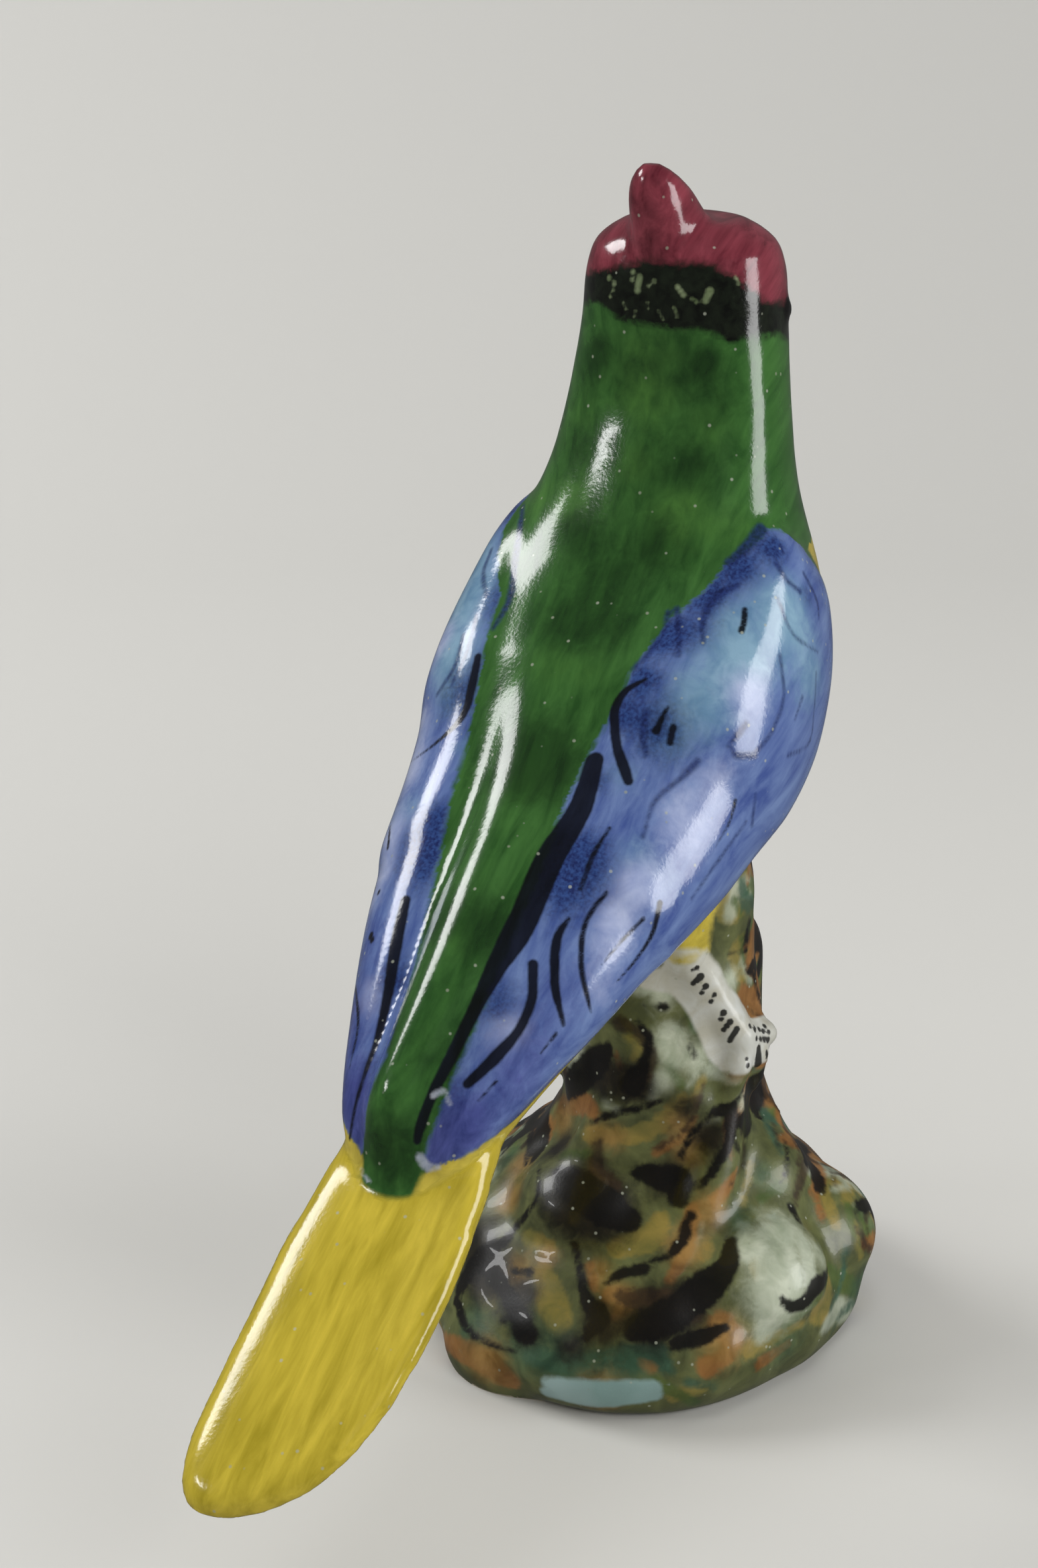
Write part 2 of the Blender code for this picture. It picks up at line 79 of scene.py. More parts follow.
# %% Camera at the photograph's viewing angle
PICTURE_WIDE, PICTURE_HIGH = 1568, 2369
EYE_PLACE = np.array([-105.4, 228.5, 163.3])
EYE_TURN = 208.0
EYE_PITCH = 22.0
FOCAL_PIXELS = 3960.0
SENSOR = 36.0

turn, pitch = math.radians(EYE_TURN), math.radians(EYE_PITCH)
eye_right = np.array([math.cos(turn), math.sin(turn), 0.0])
eye_ahead = np.array([-math.sin(turn) * math.cos(pitch), math.cos(turn) * math.cos(pitch),
                      -math.sin(pitch)])
eye_up = np.cross(eye_right, eye_ahead)

camera = bpy.data.objects.new("camera", bpy.data.cameras.new("camera"))
bpy.context.scene.collection.objects.link(camera)
camera.data.sensor_width = SENSOR
camera.data.lens = FOCAL_PIXELS / PICTURE_HIGH * SENSOR
camera.data.clip_start = 0.01
eye_axes = Matrix(np.array([eye_right, eye_up, -eye_ahead]).T.tolist())
camera.matrix_world = Matrix.Translation(EYE_PLACE * MM) @ eye_axes.to_4x4()
bpy.context.scene.camera = camera
print("lens, mm:", round(camera.data.lens, 1))

# %% [markdown]
# The mould maker carved the bird as a few simple masses. Each is a table of sections, and a
# smooth curve is read through the table, so a handful of numbers gives the whole bulge of the
# breast and the pinch of the neck. A section is a squarish oval, written as a superellipse.

# %% Sections of the body
BELLY_HEIGHT = 62.0
HEAD_HEIGHT = 106.0
CROWN_RISE = 13.8
FORWARD = 1.7


def superellipse(angle, squareness):
    """Unit oval at an angle from the back: 0 at the back, a quarter turn at the side."""
    side, back = np.sin(angle), np.cos(angle)
    power = 2.0 / squareness
    return np.sign(side) * abs(side) ** power, np.sign(back) * abs(back) ** power


def smooth_rows(rows, positions):
    """Read a table of sections at shares of its length, on smooth curves."""
    rows = np.array(rows, float)
    step = np.hypot(np.diff(rows[:, 0]), np.diff(rows[:, 1]))
    along = np.concatenate([[0.0], np.cumsum(step)])
    slopes = np.diff(rows, axis=0) / step[:, None]
    tangents = np.vstack([slopes[:1], (slopes[:-1] + slopes[1:]) / 2, slopes[-1:]])
    level = np.zeros_like(tangents, bool)
    level[1:-1] = slopes[:-1] * slopes[1:] <= 0
    tangents[level] = 0.0
    place = np.clip(positions, 0.0, 1.0) * along[-1]
    i = np.minimum(np.searchsorted(along, place, side="right") - 1, len(step) - 1)
    h = step[i][:, None]
    t = (place - along[i])[:, None] / h
    return ((2 * t**3 - 3 * t**2 + 1) * rows[i] + (t**3 - 2 * t**2 + t) * h * tangents[i]
            + (3 * t**2 - 2 * t**3) * rows[i + 1] + (t**3 - t**2) * h * tangents[i + 1])


# %% [markdown]
# The bird's own table runs from rump to crown. The spine turns more and more upright on the way,
# so the sections fan out over the breast and lie close together in the bend of the back.

# %% The body's table
# Forward, up, lean of the spine in degrees, half width, depth to the back, depth to the breast,
# squareness: from the rump to the crown.
BODY = [
    (FORWARD - 57.0, BELLY_HEIGHT - 23.0, 38, 4.2, 3.6, 3.3, 2.2),
    (FORWARD - 47.0, BELLY_HEIGHT - 15.0, 42, 7.8, 6.6, 4.3, 2.2),
    (FORWARD - 34.0, BELLY_HEIGHT - 6.5, 42, 12.5, 10.0, 7.0, 2.2),
    (FORWARD - 20.0, BELLY_HEIGHT, 46, 15.9, 14.0, 10.5, 2.2),
    (FORWARD - 8.5, BELLY_HEIGHT + 10.0, 56, 17.3, 16.3, 14.9, 2.5),
    (FORWARD - 2.0, BELLY_HEIGHT + 22.0, 68, 16.0, 12.4, 15.5, 2.6),
    (FORWARD + 0.4, HEAD_HEIGHT - 11.0, 80, 12.3, 9.6, 11.5, 2.3),
    (FORWARD + 1.8, HEAD_HEIGHT - 2.0, 86, 10.7, 8.0, 9.2, 2.4),
    (FORWARD + 2.2, HEAD_HEIGHT + CROWN_RISE * 0.3, 88, 9.9, 8.0, 10.1, 2.3),
    (FORWARD + 2.2, HEAD_HEIGHT + CROWN_RISE * 0.66, 90, 9.4, 7.7, 9.7, 2.3),
    (FORWARD + 2.2, HEAD_HEIGHT + CROWN_RISE * 0.85, 90, 8.3, 6.6, 8.0, 2.2),
    (FORWARD + 2.2, HEAD_HEIGHT + CROWN_RISE * 0.97, 90, 5.6, 4.4, 5.2, 2.2),
]
EYE_LEVEL = BODY[-4]
BODY_LENGTH = float(sum(math.hypot(b[0] - a[0], b[1] - a[1]) for a, b in zip(BODY, BODY[1:])))


def section(row, angles, lift=0.0):
    """Points round one section, moved outward by lift, in millimetres."""
    ahead, up, lean, half, back, breast, squareness = row
    x, y = superellipse(np.asarray(angles, float), squareness)
    x = x * (half + lift)
    y = y * (np.where(y > 0, back, breast) + lift)
    tilt = math.radians(lean)
    return np.stack([x, -(ahead - math.sin(tilt) * y), up + math.cos(tilt) * y], axis=1)


print("body length along the spine, mm:", round(BODY_LENGTH, 1))

# %% [markdown]
# A form is a stack of rings with faces between them and a cap on each end. The body's first rings
# shrink, so that the rump is round and not cut off.

# %% Rings into a closed form


def skin(name, rings):
    """A closed mesh laid over rings of points in millimetres."""
    bm = bmesh.new()
    loops = [[bm.verts.new(Vector(point) * MM) for point in ring] for ring in rings]
    for lower, upper in zip(loops, loops[1:]):
        for i in range(len(lower)):
            j = (i + 1) % len(lower)
            bm.faces.new((lower[i], lower[j], upper[j], upper[i]))
    bm.faces.new(list(reversed(loops[0])))
    bm.faces.new(loops[-1])
    bmesh.ops.recalc_face_normals(bm, faces=bm.faces)
    mesh = bpy.data.meshes.new(name)
    bm.to_mesh(mesh)
    bm.free()
    return mesh


def round_angles(count):
    return np.linspace(0.0, 2 * math.pi, count, endpoint=False)


RUMP_ROUNDING = 0.06


def body(inset=0.0, first=0.0, last=1.0, count=110, around=96):
    """The body, or for the hollow a stretch of it drawn in by the wall."""
    places = np.linspace(first, last, count)
    rows = smooth_rows(BODY, places)
    shrink = np.sqrt(1.0 - 0.9 * np.clip(1.0 - places / RUMP_ROUNDING, 0.0, 1.0) ** 2)
    rows[:, 3:6] *= shrink[:, None]
    return skin("body", [section(row, round_angles(around), -inset) for row in rows])


bird_forms = [body()]
print("body:", len(bird_forms[0].polygons), "faces")

# %% [markdown]
# A wing is not a separate piece on a cast bird: it is a pad in low relief, pressed against the
# side and stepped where one row of feathers overlaps the next. It is lofted here as a strip that
# follows the body's own sections, so it can never float off the flank.

# %% Wings in low relief
WING_THICKNESS = 2.1
FEATHER_STEP = 0.6
FEATHER_ENDS = (0.46, 0.30)
BACK_TURN = 4.0
WING_EDGES = np.array([
    (0.735, 70, 78), (0.720, 56, 94), (0.690, 42, 108), (0.620, 27, 122), (0.550, 21, 122),
    (0.480, 20, 114), (0.420, 19, 105), (0.360, 18.5, 101), (0.300, 18.5, 100), (0.200, 19, 98),
    (0.120, 21, 90), (0.070, 25, 74), (0.045, 36, 56),
])


def wing(side):
    """One wing: side is -1 for the bird's right and 1 for its left."""
    shares = np.linspace(0.0, 1.0, 44)
    at = np.linspace(0.0, 1.0, len(WING_EDGES))
    starts = (WING_EDGES[0, 0],) + FEATHER_ENDS
    ends = FEATHER_ENDS + (WING_EDGES[-1, 0],)
    rings = []
    for t in np.linspace(0.0, 1.0, 130):
        place, inner, lower = (np.interp(t, at, column) for column in WING_EDGES.T)
        row = smooth_rows(BODY, [place])[0]
        fade = math.sin(math.pi * min(max(t, 0.02), 0.98)) ** 0.3
        outer, under = [], []
        for share in shares:
            angle = math.radians(side * (inner + (lower - inner) * share) + BACK_TURN)
            slant = place + 0.05 * (share - 0.5)
            tier = sum(slant < end for end in FEATHER_ENDS)
            along = (starts[tier] - slant) / (starts[tier] - ends[tier])
            along = min(along, (1.0 - along) * 6.0)
            rounding = 5 if share < 0.5 else 2.4
            rim = math.sqrt(1 - abs(2 * share - 1) ** rounding) * (0.55 + 0.45 * min(share * 3.0, 1.0))
            lift = (WING_THICKNESS + FEATHER_STEP * (along - 0.5)) * rim * fade
            outer.append(section(row, [angle], lift)[0])
            under.append(section(row, [angle], -1.5)[0])
        rings.append(outer + under[::-1])
    return skin("wing", rings)


bird_forms += [wing(-1), wing(1)]
print("wings:", [len(mesh.polygons) for mesh in bird_forms[1:]], "faces")

# %% [markdown]
# Between the wing tips runs a rounded ridge of long back feathers, and under it the paddle of
# the tail. Both are swept: an oval carried along a line, growing and shrinking on the way.

# %% Back ridge and tail
RIDGE_PLACES = [0.0, 0.35, 0.65, 1.0]
RIDGE_WIDTHS = [12.0, 10.8, 9.2, 6.6]
RIDGE_HEIGHT = 3.6
RIDGE_SUNK = 2.5
RIDGE_SWING, RIDGE_BOW = 1.3, -1.7
RIDGE_ROOT, RIDGE_STOP = 0.52, 0.035


def rump_ridge():
    """The ridge runs down the middle of the back and ends round over the tail."""
    rings = []
    for t in np.sin(np.linspace(0.0, math.pi / 2, 90)):
        row = smooth_rows(BODY, [RIDGE_ROOT * (1 - t) + RIDGE_STOP * t])[0]
        crown = section(row, [math.radians(BACK_TURN * (1 - t))])[0]
        round_off = math.sqrt(1 - max((t - 0.86) / 0.14, 0.0) ** 2 * 0.98)
        half = float(np.interp(t, RIDGE_PLACES, RIDGE_WIDTHS)) / 2 * round_off
        rise = (RIDGE_HEIGHT * t**0.8 + RIDGE_SUNK) * round_off
        tilt = math.radians(row[2])
        up = np.array([0.0, math.sin(tilt), math.cos(tilt)])
        across, height = superellipse(round_angles(48), 2.0)
        bow = RIDGE_SWING * t + RIDGE_BOW * math.sin(math.pi * t)
        rings.append(crown + [bow, 0.0, 0.0] + np.outer(across * half, [1.0, 0.0, 0.0])
                     + np.outer(height * rise - RIDGE_SUNK, up))
    return skin("rump_ridge", rings)


TAIL_LENGTH = 44.8
TAIL_WIDTH = 17.6
TAIL_SKEW = 4.4
TAIL_THICKNESS = 4.6
TAIL_SLOPE = math.radians(34.0)
TAIL_ROOT = np.array([-0.45, 45.0 - FORWARD, BELLY_HEIGHT - 14.0])
TAIL_PLACES = [0.0, 0.12, 0.25, 0.45, 0.68, 0.80, 0.88, 0.95, 0.985, 1.0]
TAIL_SPREAD = [0.66, 0.80, 0.91, 1.0, 0.95, 0.86, 0.74, 0.50, 0.28, 0.06]
tail_along = np.array([0.0, math.cos(TAIL_SLOPE), -math.sin(TAIL_SLOPE)])
tail_up = np.array([0.0, math.sin(TAIL_SLOPE), math.cos(TAIL_SLOPE)])


def tail():
    """A flat paddle whose tip leans to one side."""
    rings = []
    for t in np.sin(np.linspace(0.0, math.pi / 2, 90)):
        half = TAIL_WIDTH / 2 * np.interp(t, TAIL_PLACES, TAIL_SPREAD)
        thick = TAIL_THICKNESS / 2 * (1.0 - 0.25 * t)
        thick *= math.sqrt(1 - max((t - 0.9) / 0.1, 0.0) ** 2 * 0.95)
        centre = TAIL_ROOT + tail_along * (TAIL_LENGTH * t) + [TAIL_SKEW * t**6, 0.0, 0.0]
        x, y = superellipse(round_angles(56), 2.8)
        rings.append(centre + np.outer(x * half, [1.0, 0.0, 0.0]) + np.outer(y * thick, tail_up))
    return skin("tail", rings)


bird_forms.append(rump_ridge())
tail_forms = [tail()]
print("tail, mm:", TAIL_LENGTH, "long and", TAIL_WIDTH, "wide")

# %% [markdown]
# The head carries a blunt crest, a short beak, an eye and a brow. Small round masses are balls
# pushed into the head until only the swelling shows, as a modeller adds pellets of clay.

# %% Crest, beak and eyes
CREST_RISE = 11.2
CREST_SUNK = 4.0
CREST_WIDTH = 6.6
CREST_LENGTH = 13.0
CREST_LEAN = 6.5
CREST_TILT = 0.5
HEAD_DEPTH = 17.4
FACE_WIDTH = 16.0
BEAK_LENGTH = 10.5
BEAK_DEPTH = 8.8
BEAK_DROOP = 2.2
EYE_WIDTH = 3.6
BROW_WIDTH = 5.6


def crest():
    """A blunt crest, leaning forward and a little to one side."""
    ahead, crown = BODY[-1][:2]
    rings = []
    for t in np.sin(np.linspace(0.0, math.pi / 2, 50)):
        rise = crown - CREST_SUNK + (CREST_RISE - 1.0) * t
        lean = ahead - 0.6 - CREST_LEAN * t
        round_off = math.sqrt(max(1 - max((t - 0.62) / 0.38, 0.0) ** 2, 0.02))
        half = CREST_WIDTH / 2 * (1.2 - 0.45 * t) * round_off
        length = CREST_LENGTH / 2 * (1.1 - 0.75 * t) * round_off
        rings.append([(CREST_TILT * t + math.cos(a) * half, -(lean + math.sin(a) * length), rise)
                      for a in round_angles(36)])
    return skin("crest", rings)


def beak():
    ahead, rise = EYE_LEVEL[:2]
    rings = []
    for t in np.linspace(0.0, 1.0, 30):
        size = (1 - t) ** 0.6 * 0.9 + 0.1
        rings.append([(math.cos(a) * BEAK_DEPTH * 0.44 * size,
                       -(ahead + HEAD_DEPTH * 0.46 + BEAK_LENGTH * t),
                       rise - 1.0 - BEAK_DROOP * t * t + math.sin(a) * BEAK_DEPTH / 2 * size)
                      for a in round_angles(28)])
    return skin("beak", rings)


def ball(name, centre, radii, turned=0.0):
    """A squashed ball, turned about its upright axis by some degrees."""
    bm = bmesh.new()
    bmesh.ops.create_icosphere(bm, subdivisions=4, radius=MM)
    c, s = math.cos(math.radians(turned)), math.sin(math.radians(turned))
    for vert in bm.verts:
        x, y, z = (size * place for size, place in zip(radii, vert.co))
        vert.co = (x * c - y * s, x * s + y * c, z)
    bmesh.ops.translate(bm, vec=Vector(centre) * MM, verts=bm.verts)
    mesh = bpy.data.meshes.new(name)
    bm.to_mesh(mesh)
    bm.free()
    return mesh


eye_forms, beak_forms = [], [beak()]
bird_forms.append(crest())
ahead, rise, _, half = EYE_LEVEL[:4]
bird_forms.append(ball("cheeks", (0.0, -(ahead + HEAD_DEPTH * 0.24), rise - 0.5),
                       (FACE_WIDTH / 2, HEAD_DEPTH * 0.42, FACE_WIDTH * 0.48)))
for side in (-1, 1):
    eye_forms.append(ball("eye", (side * (half - EYE_WIDTH * 0.42), -(ahead + 2.8), rise + 0.6),
                          [EYE_WIDTH / 2] * 3))
    bird_forms.append(ball("brow", (side * (half - BROW_WIDTH * 0.75), -(ahead + 3.6), rise + 4.4),
                           (BROW_WIDTH / 2, BROW_WIDTH * 0.75, BROW_WIDTH / 2)))
print("head forms:", len(eye_forms) + len(beak_forms) + 3)

# %% [markdown]
# The base is a mound of boulders with a stump rising out of it, roots down its sides and a
# broken branch before the breast. The mound and the stump are one turned stack of ovals, which a
# little noise roughens, because no thumb-pressed clay is a true oval.

# %% The mound and the stump
FOOT_WIDTH, FOOT_DEPTH = 46.0, 47.0
MOUND_SWELL = 1.6
MOUND_HEIGHT = 20.0
ROCK_RELIEF = 0.8
ROCK_LUMP = 11.0
FOOT_NIP, FOOT_NIP_TURN, FOOT_NIP_SPREAD = 2.0, 158.0, 34.0
STUMP_WIDTH = 21.0
STUMP_RISE = 21.0


def rock_rings(inset=0.0, levels=90, around=120):
    """Height, how far it has moved from foot to stump, half width and half depth, on the way up."""
    stump = STUMP_WIDTH / 2
    top = MOUND_HEIGHT + STUMP_RISE
    wide, deep, swell = FOOT_WIDTH / 2, FOOT_DEPTH / 2, MOUND_SWELL
    table = [
        (0.0, 0.0, wide, deep),
        (MOUND_HEIGHT * 0.10, 0.0, wide + swell * 0.8, deep + swell * 0.8),
        (MOUND_HEIGHT * 0.25, 0.0, wide + swell, deep + swell),
        (MOUND_HEIGHT * 0.42, 0.1, wide + swell * 0.3, deep + swell * 0.3),
        (MOUND_HEIGHT * 0.70, 0.4, wide * 0.85, deep * 0.85),
        (MOUND_HEIGHT * 0.90, 0.8, wide * 0.66, deep * 0.66),
        (MOUND_HEIGHT, 1.0, wide * 0.55, deep * 0.55),
        (MOUND_HEIGHT + 5.0, 1.0, stump, stump),
        (top, 1.0, stump * 0.98, stump * 0.98),
        (BELLY_HEIGHT - 13.0, 1.0, stump * 0.92, stump * 0.92),
        (BELLY_HEIGHT - 5.0, 1.0, stump * 0.84, stump * 0.84),
        (BELLY_HEIGHT + 2.0, 1.0, stump * 0.62, stump * 0.62),
    ]
    heights, moved, wide, deep = (np.array(column) for column in zip(*table))
    rings = []
    for z in np.linspace(inset, heights[-1] - inset * 0.3, levels):
        half_wide = np.interp(z, heights, wide) - inset
        half_deep = np.interp(z, heights, deep) - inset
        ahead = np.interp(z, heights, moved) * FORWARD
        ring = []
        for a in round_angles(around):
            outward = Vector((math.cos(a), math.sin(a), 0.0))
            turned = (math.degrees(a) - FOOT_NIP_TURN) / FOOT_NIP_SPREAD
            nip = FOOT_NIP * math.exp(-turned**2) * max(1.0 - z / MOUND_HEIGHT, 0.0)
            point = Vector((outward.x * (half_wide - nip), outward.y * (half_deep - nip) - ahead, z))
            if not inset:
                rough = noise.fractal(point / ROCK_LUMP + Vector((3.1, 0.7, 5.2)), 0.6, 2.0, 3)
                point += outward * (rough * ROCK_RELIEF * 1.6 * min(z / 4.0, 1.0))
            ring.append(point)
        rings.append(ring)
    return rings


rock_forms = [skin("rock", rock_rings())]
print("mound and stump:", len(rock_forms[0].polygons), "faces")

# %% [markdown]
# Roots, the branch, legs and toes are all limbs: a round section carried along a few points,
# thicker or thinner on the way, with round ends.

# %% A limb


def tube(name, points, radii, around=28):
    """A round tapering limb along a few points, with round ends."""
    points = [Vector(p) for p in points]
    ends = (0.97, 0.72, 0.4)
    rings = []
    for i, (point, radius) in enumerate(zip(points, radii)):
        ahead = (points[min(i + 1, len(points) - 1)] - points[max(i - 1, 0)]).normalized()
        side = ahead.cross(Vector((0.0, 0.0, 1.0)))
        side = side.normalized() if side.length > 0.1 else Vector((1.0, 0.0, 0.0))
        other = ahead.cross(side)
        steps = [(0.0, 1.0)]
        if i == 0:
            steps = [(-share, math.sqrt(1 - share**2)) for share in ends] + steps
        if i == len(points) - 1:
            steps = steps + [(share, math.sqrt(1 - share**2)) for share in reversed(ends)]
        for shift, size in steps:
            centre = point + ahead * radius * shift
            rings.append([centre + (side * math.cos(a) + other * math.sin(a)) * radius * size
                          for a in round_angles(around)])
    return skin(name, rings)


# %% [markdown]
# The boulders are squashed balls sunk into the mound, where the photograph shows lumps. Each root
# turns round the stump as it runs down it and spreads at its foot. The branch is broken off short.

# %% Boulders, roots and the broken branch
# Direction in degrees from +X, distance out, height and size of each boulder.
BOULDERS = [
    (68, 16.0, 2.6, 10.6), (20, 14.0, 5.0, 10.0), (118, 14.5, 8.0, 8.5), (160, 14.5, 10.5, 9.5),
    (206, 14.8, 9.0, 10.6), (201, 9.0, 16.5, 8.7), (255, 13.0, 9.0, 9.0), (305, 14.0, 6.0, 9.5),
    (345, 8.5, 15.0, 8.5), (76, 9.2, 16.5, 8.6),
]
# Direction of each root at the top of the stump and at its foot, and how thick it is.
ROOTS = [(170, 130, 2.6), (240, 232, 2.3), (100, 62, 2.4), (15, 350, 2.8), (300, 285, 2.6)]
ROOT_TOP, ROOT_LENGTH, ROOT_FLARE = 17.0, 22.0, 5.5
BRANCH_WIDTH, BRANCH_RISE = 11.0, 46.0
BRANCH_FORWARD, BRANCH_SIDE = 7.0, 3.2

for direction, out, height, size in BOULDERS:
    a = math.radians(direction)
    rock_forms.append(ball("boulder", (math.cos(a) * out, math.sin(a) * out, height),
                           (size, size * 0.92, size * 0.72), direction))
for top_turn, foot_turn, size in ROOTS:
    route = []
    for share in (0.0, 0.35, 0.7, 1.0):
        a = math.radians(top_turn + (foot_turn - top_turn) * share**1.5)
        out = STUMP_WIDTH / 2 - size * 0.55 + ROOT_FLARE * share**2.2
        route.append((math.cos(a) * out, math.sin(a) * out - FORWARD,
                      MOUND_HEIGHT + ROOT_TOP - ROOT_LENGTH * share))
    rock_forms.append(tube("root", route, [size * 0.7, size, size * 1.15, size * 1.1]))
branch_line = [(-BRANCH_SIDE, -FORWARD - BRANCH_FORWARD, z)
               for z in (MOUND_HEIGHT - 4.0, BRANCH_RISE * 0.8, BRANCH_RISE - BRANCH_WIDTH / 2)]
rock_forms.append(tube("branch", branch_line, [BRANCH_WIDTH * 0.55, BRANCH_WIDTH / 2, BRANCH_WIDTH / 2]))
print("base forms:", len(rock_forms))

# %% [markdown]
# Two short legs come out of the belly feathers and grip the stump with three toes each. The
# thigh is counted with the bird, because it is painted like the belly.

# %% Legs and toes
LEG_WIDTH, TOE_WIDTH = 4.0, 3.0
LEG_BACK, LEG_LENGTH = 4.6, 10.5
TOE_STAND, KNUCKLE_STAND = 0.7, 0.8
ANKLE_TURN = -15.0
# How far each toe goes round the stump from the ankle towards the front, and down it.
TOES = [(-10, 7.5), (16, 6.5), (38, 3.0)]


def on_stump(side, turned, height):
    """A place on the stump, turned from the bird's side towards its front."""
    a, reach = math.radians(turned), STUMP_WIDTH / 2 + TOE_STAND
    return Vector((side * math.cos(a) * reach, -math.sin(a) * reach - FORWARD, height))


leg_forms = []
for side in (-1, 1):
    knee = Vector((side * STUMP_WIDTH / 2 * 0.52, LEG_BACK, BELLY_HEIGHT - 16.0))
    hip = knee + Vector((-1.2 * side, -1.0, 8.0))
    ankle = on_stump(side, ANKLE_TURN, knee.z - LEG_LENGTH)
    bird_forms.append(tube("thigh", [hip, knee + Vector((0.0, 0.0, 1.0))],
                           [LEG_WIDTH * 1.15, LEG_WIDTH * 0.62]))
    leg_forms.append(tube("leg", [knee, (knee + ankle) / 2, ankle],
                          [LEG_WIDTH * 0.6, LEG_WIDTH / 2, LEG_WIDTH / 2]))
    for turned, drop in TOES:
        knuckle = on_stump(side, ANKLE_TURN + turned * 0.6, ankle.z - drop * 0.35)
        knuckle += Vector((KNUCKLE_STAND * side, 0.0, 0.0))
        end = on_stump(side, ANKLE_TURN + turned, ankle.z - drop)
        leg_forms.append(tube("toe", [ankle, knuckle, end],
                              [TOE_WIDTH / 2, TOE_WIDTH / 2, TOE_WIDTH * 0.36]))
print("leg forms:", len(leg_forms))

# %% [markdown]
# Casting joins all the masses into one skin. A voxel remesh does the same in Blender: it wraps
# every overlapping form in a single surface, and a few smoothing steps soften the joins as wet
# slip does.

# %% Cast the figurine in one skin
CAST_VOXEL = 0.62
CAST_SOFTENING = 4


def settle(thing):
    """Turn an object's modifiers into its mesh."""
    graph = bpy.context.evaluated_depsgraph_get()
    mesh = bpy.data.meshes.new_from_object(thing.evaluated_get(graph))
    thing.modifiers.clear()
    thing.data = mesh


def cast(name, meshes, voxel, softening):
    """Join closed meshes in one skin and soften it."""
    bm = bmesh.new()
    for mesh in meshes:
        bm.from_mesh(mesh)
    joined = bpy.data.meshes.new(name)
    bm.to_mesh(joined)
    bm.free()
    thing = bpy.data.objects.new(name, joined)
    bpy.context.scene.collection.objects.link(thing)
    remesh = thing.modifiers.new("one_skin", "REMESH")
    remesh.mode = "VOXEL"
    remesh.voxel_size = voxel * MM
    soften = thing.modifiers.new("soften", "SMOOTH")
    soften.factor = 0.5
    soften.iterations = softening
    settle(thing)
    return thing


figurine = cast("painted_songbird", bird_forms + tail_forms + eye_forms + beak_forms + rock_forms
                + leg_forms, CAST_VOXEL, CAST_SOFTENING)
print("cast skin:", len(figurine.data.vertices), "points")

# %% [markdown]
# Thick glaze fills the creases between the boulders and the feather steps. Both are softened
# again, and the legs, the face and the tail are mostly left out by their weight in a group.

# %% Thick glaze in the creases
POOLING = 24
# Heights and places in mm.
LEGS_TOP, TAIL_START, HEAD_START = 44.0, 28.0, 98.0
LEG_MIDDLE, LEG_CLEAR, LEG_FADE = Vector((10.8, 1.5, 34.0)), 5.0, 4.0
TAIL_LEVEL, TAIL_FADE = 88.0, 6.0
LEAST_POOLED = 0.05
pooled = figurine.vertex_groups.new(name="pooled")
for vert in figurine.data.vertices:
    x, y, z = vert.co / MM
    weight = 1.0
    if z < LEGS_TOP:
        off_leg = (Vector((abs(x), y, z)) - LEG_MIDDLE).length
        weight = min(max((off_leg - LEG_CLEAR) / LEG_FADE, LEAST_POOLED), 1.0)
    if y > TAIL_START:
        weight = 0.5 * min(max((z - TAIL_LEVEL + y) / TAIL_FADE, 2 * LEAST_POOLED), 1.0)
    if z > HEAD_START:
        weight = LEAST_POOLED
    pooled.add([vert.index], weight, "REPLACE")
soften = figurine.modifiers.new("thick_glaze", "SMOOTH")
soften.factor, soften.iterations, soften.vertex_group = 0.5, POOLING, "pooled"
settle(figurine)
print("points under thick glaze:", len(figurine.data.vertices))

# %% [markdown]
# The slip leaves a wall of even thickness, so the hollow repeats the outside forms drawn in by
# the wall, with a narrow throat between stump and body. A drill opens the vent that the slip
# drained from, and a block cuts the foot flat.

# %% Hollow, vent and flat foot
WALL = 3.6
THROAT_WIDTH, THROAT_OVERLAP = 8.0, 6.0
VENT_WIDTH, VENT_BACK = 9.0, 12.0
VENT_REACH = (-5.0, WALL + 4.0)
HOLLOW_VOXEL = 1.2


def drum(name, centre, radius, bottom, top):
    """An upright cylinder between two heights."""
    mesh = bpy.data.meshes.new(name)
    bm = bmesh.new()
    bmesh.ops.create_cone(bm, cap_ends=True, segments=64, radius1=radius * MM,
                          radius2=radius * MM, depth=(top - bottom) * MM)
    bmesh.ops.translate(bm, vec=Vector((centre[0], centre[1], (bottom + top) / 2)) * MM, verts=bm.verts)
    bm.to_mesh(mesh)
    bm.free()
    return mesh


hollow = cast("hollow", [body(WALL, 0.12, 0.96, 40, 40), skin("rock_hollow", rock_rings(WALL, 24, 40)),
                         drum("throat", (0.0, -FORWARD), THROAT_WIDTH / 2, MOUND_HEIGHT,
                              BELLY_HEIGHT + THROAT_OVERLAP)],
              HOLLOW_VOXEL, 3)
ground = bpy.data.objects.new("ground", bpy.data.meshes.new("ground"))
bm = bmesh.new()
bmesh.ops.create_cube(bm, size=0.2)
bmesh.ops.translate(bm, vec=(0.0, 0.0, -0.1), verts=bm.verts)
bm.to_mesh(ground.data)
bm.free()
vent = bpy.data.objects.new("vent", drum("vent", (0.0, VENT_BACK), VENT_WIDTH / 2, *VENT_REACH))
for knife in (ground, hollow, vent):
    if knife is not hollow:
        bpy.context.scene.collection.objects.link(knife)
    cut = figurine.modifiers.new(knife.name, "BOOLEAN")
    cut.operation = "DIFFERENCE"
    cut.solver = "EXACT"
    cut.object = knife
settle(figurine)
for knife in (ground, hollow, vent):
    bpy.data.objects.remove(knife)
print("hollow skin:", len(figurine.data.vertices), "points")

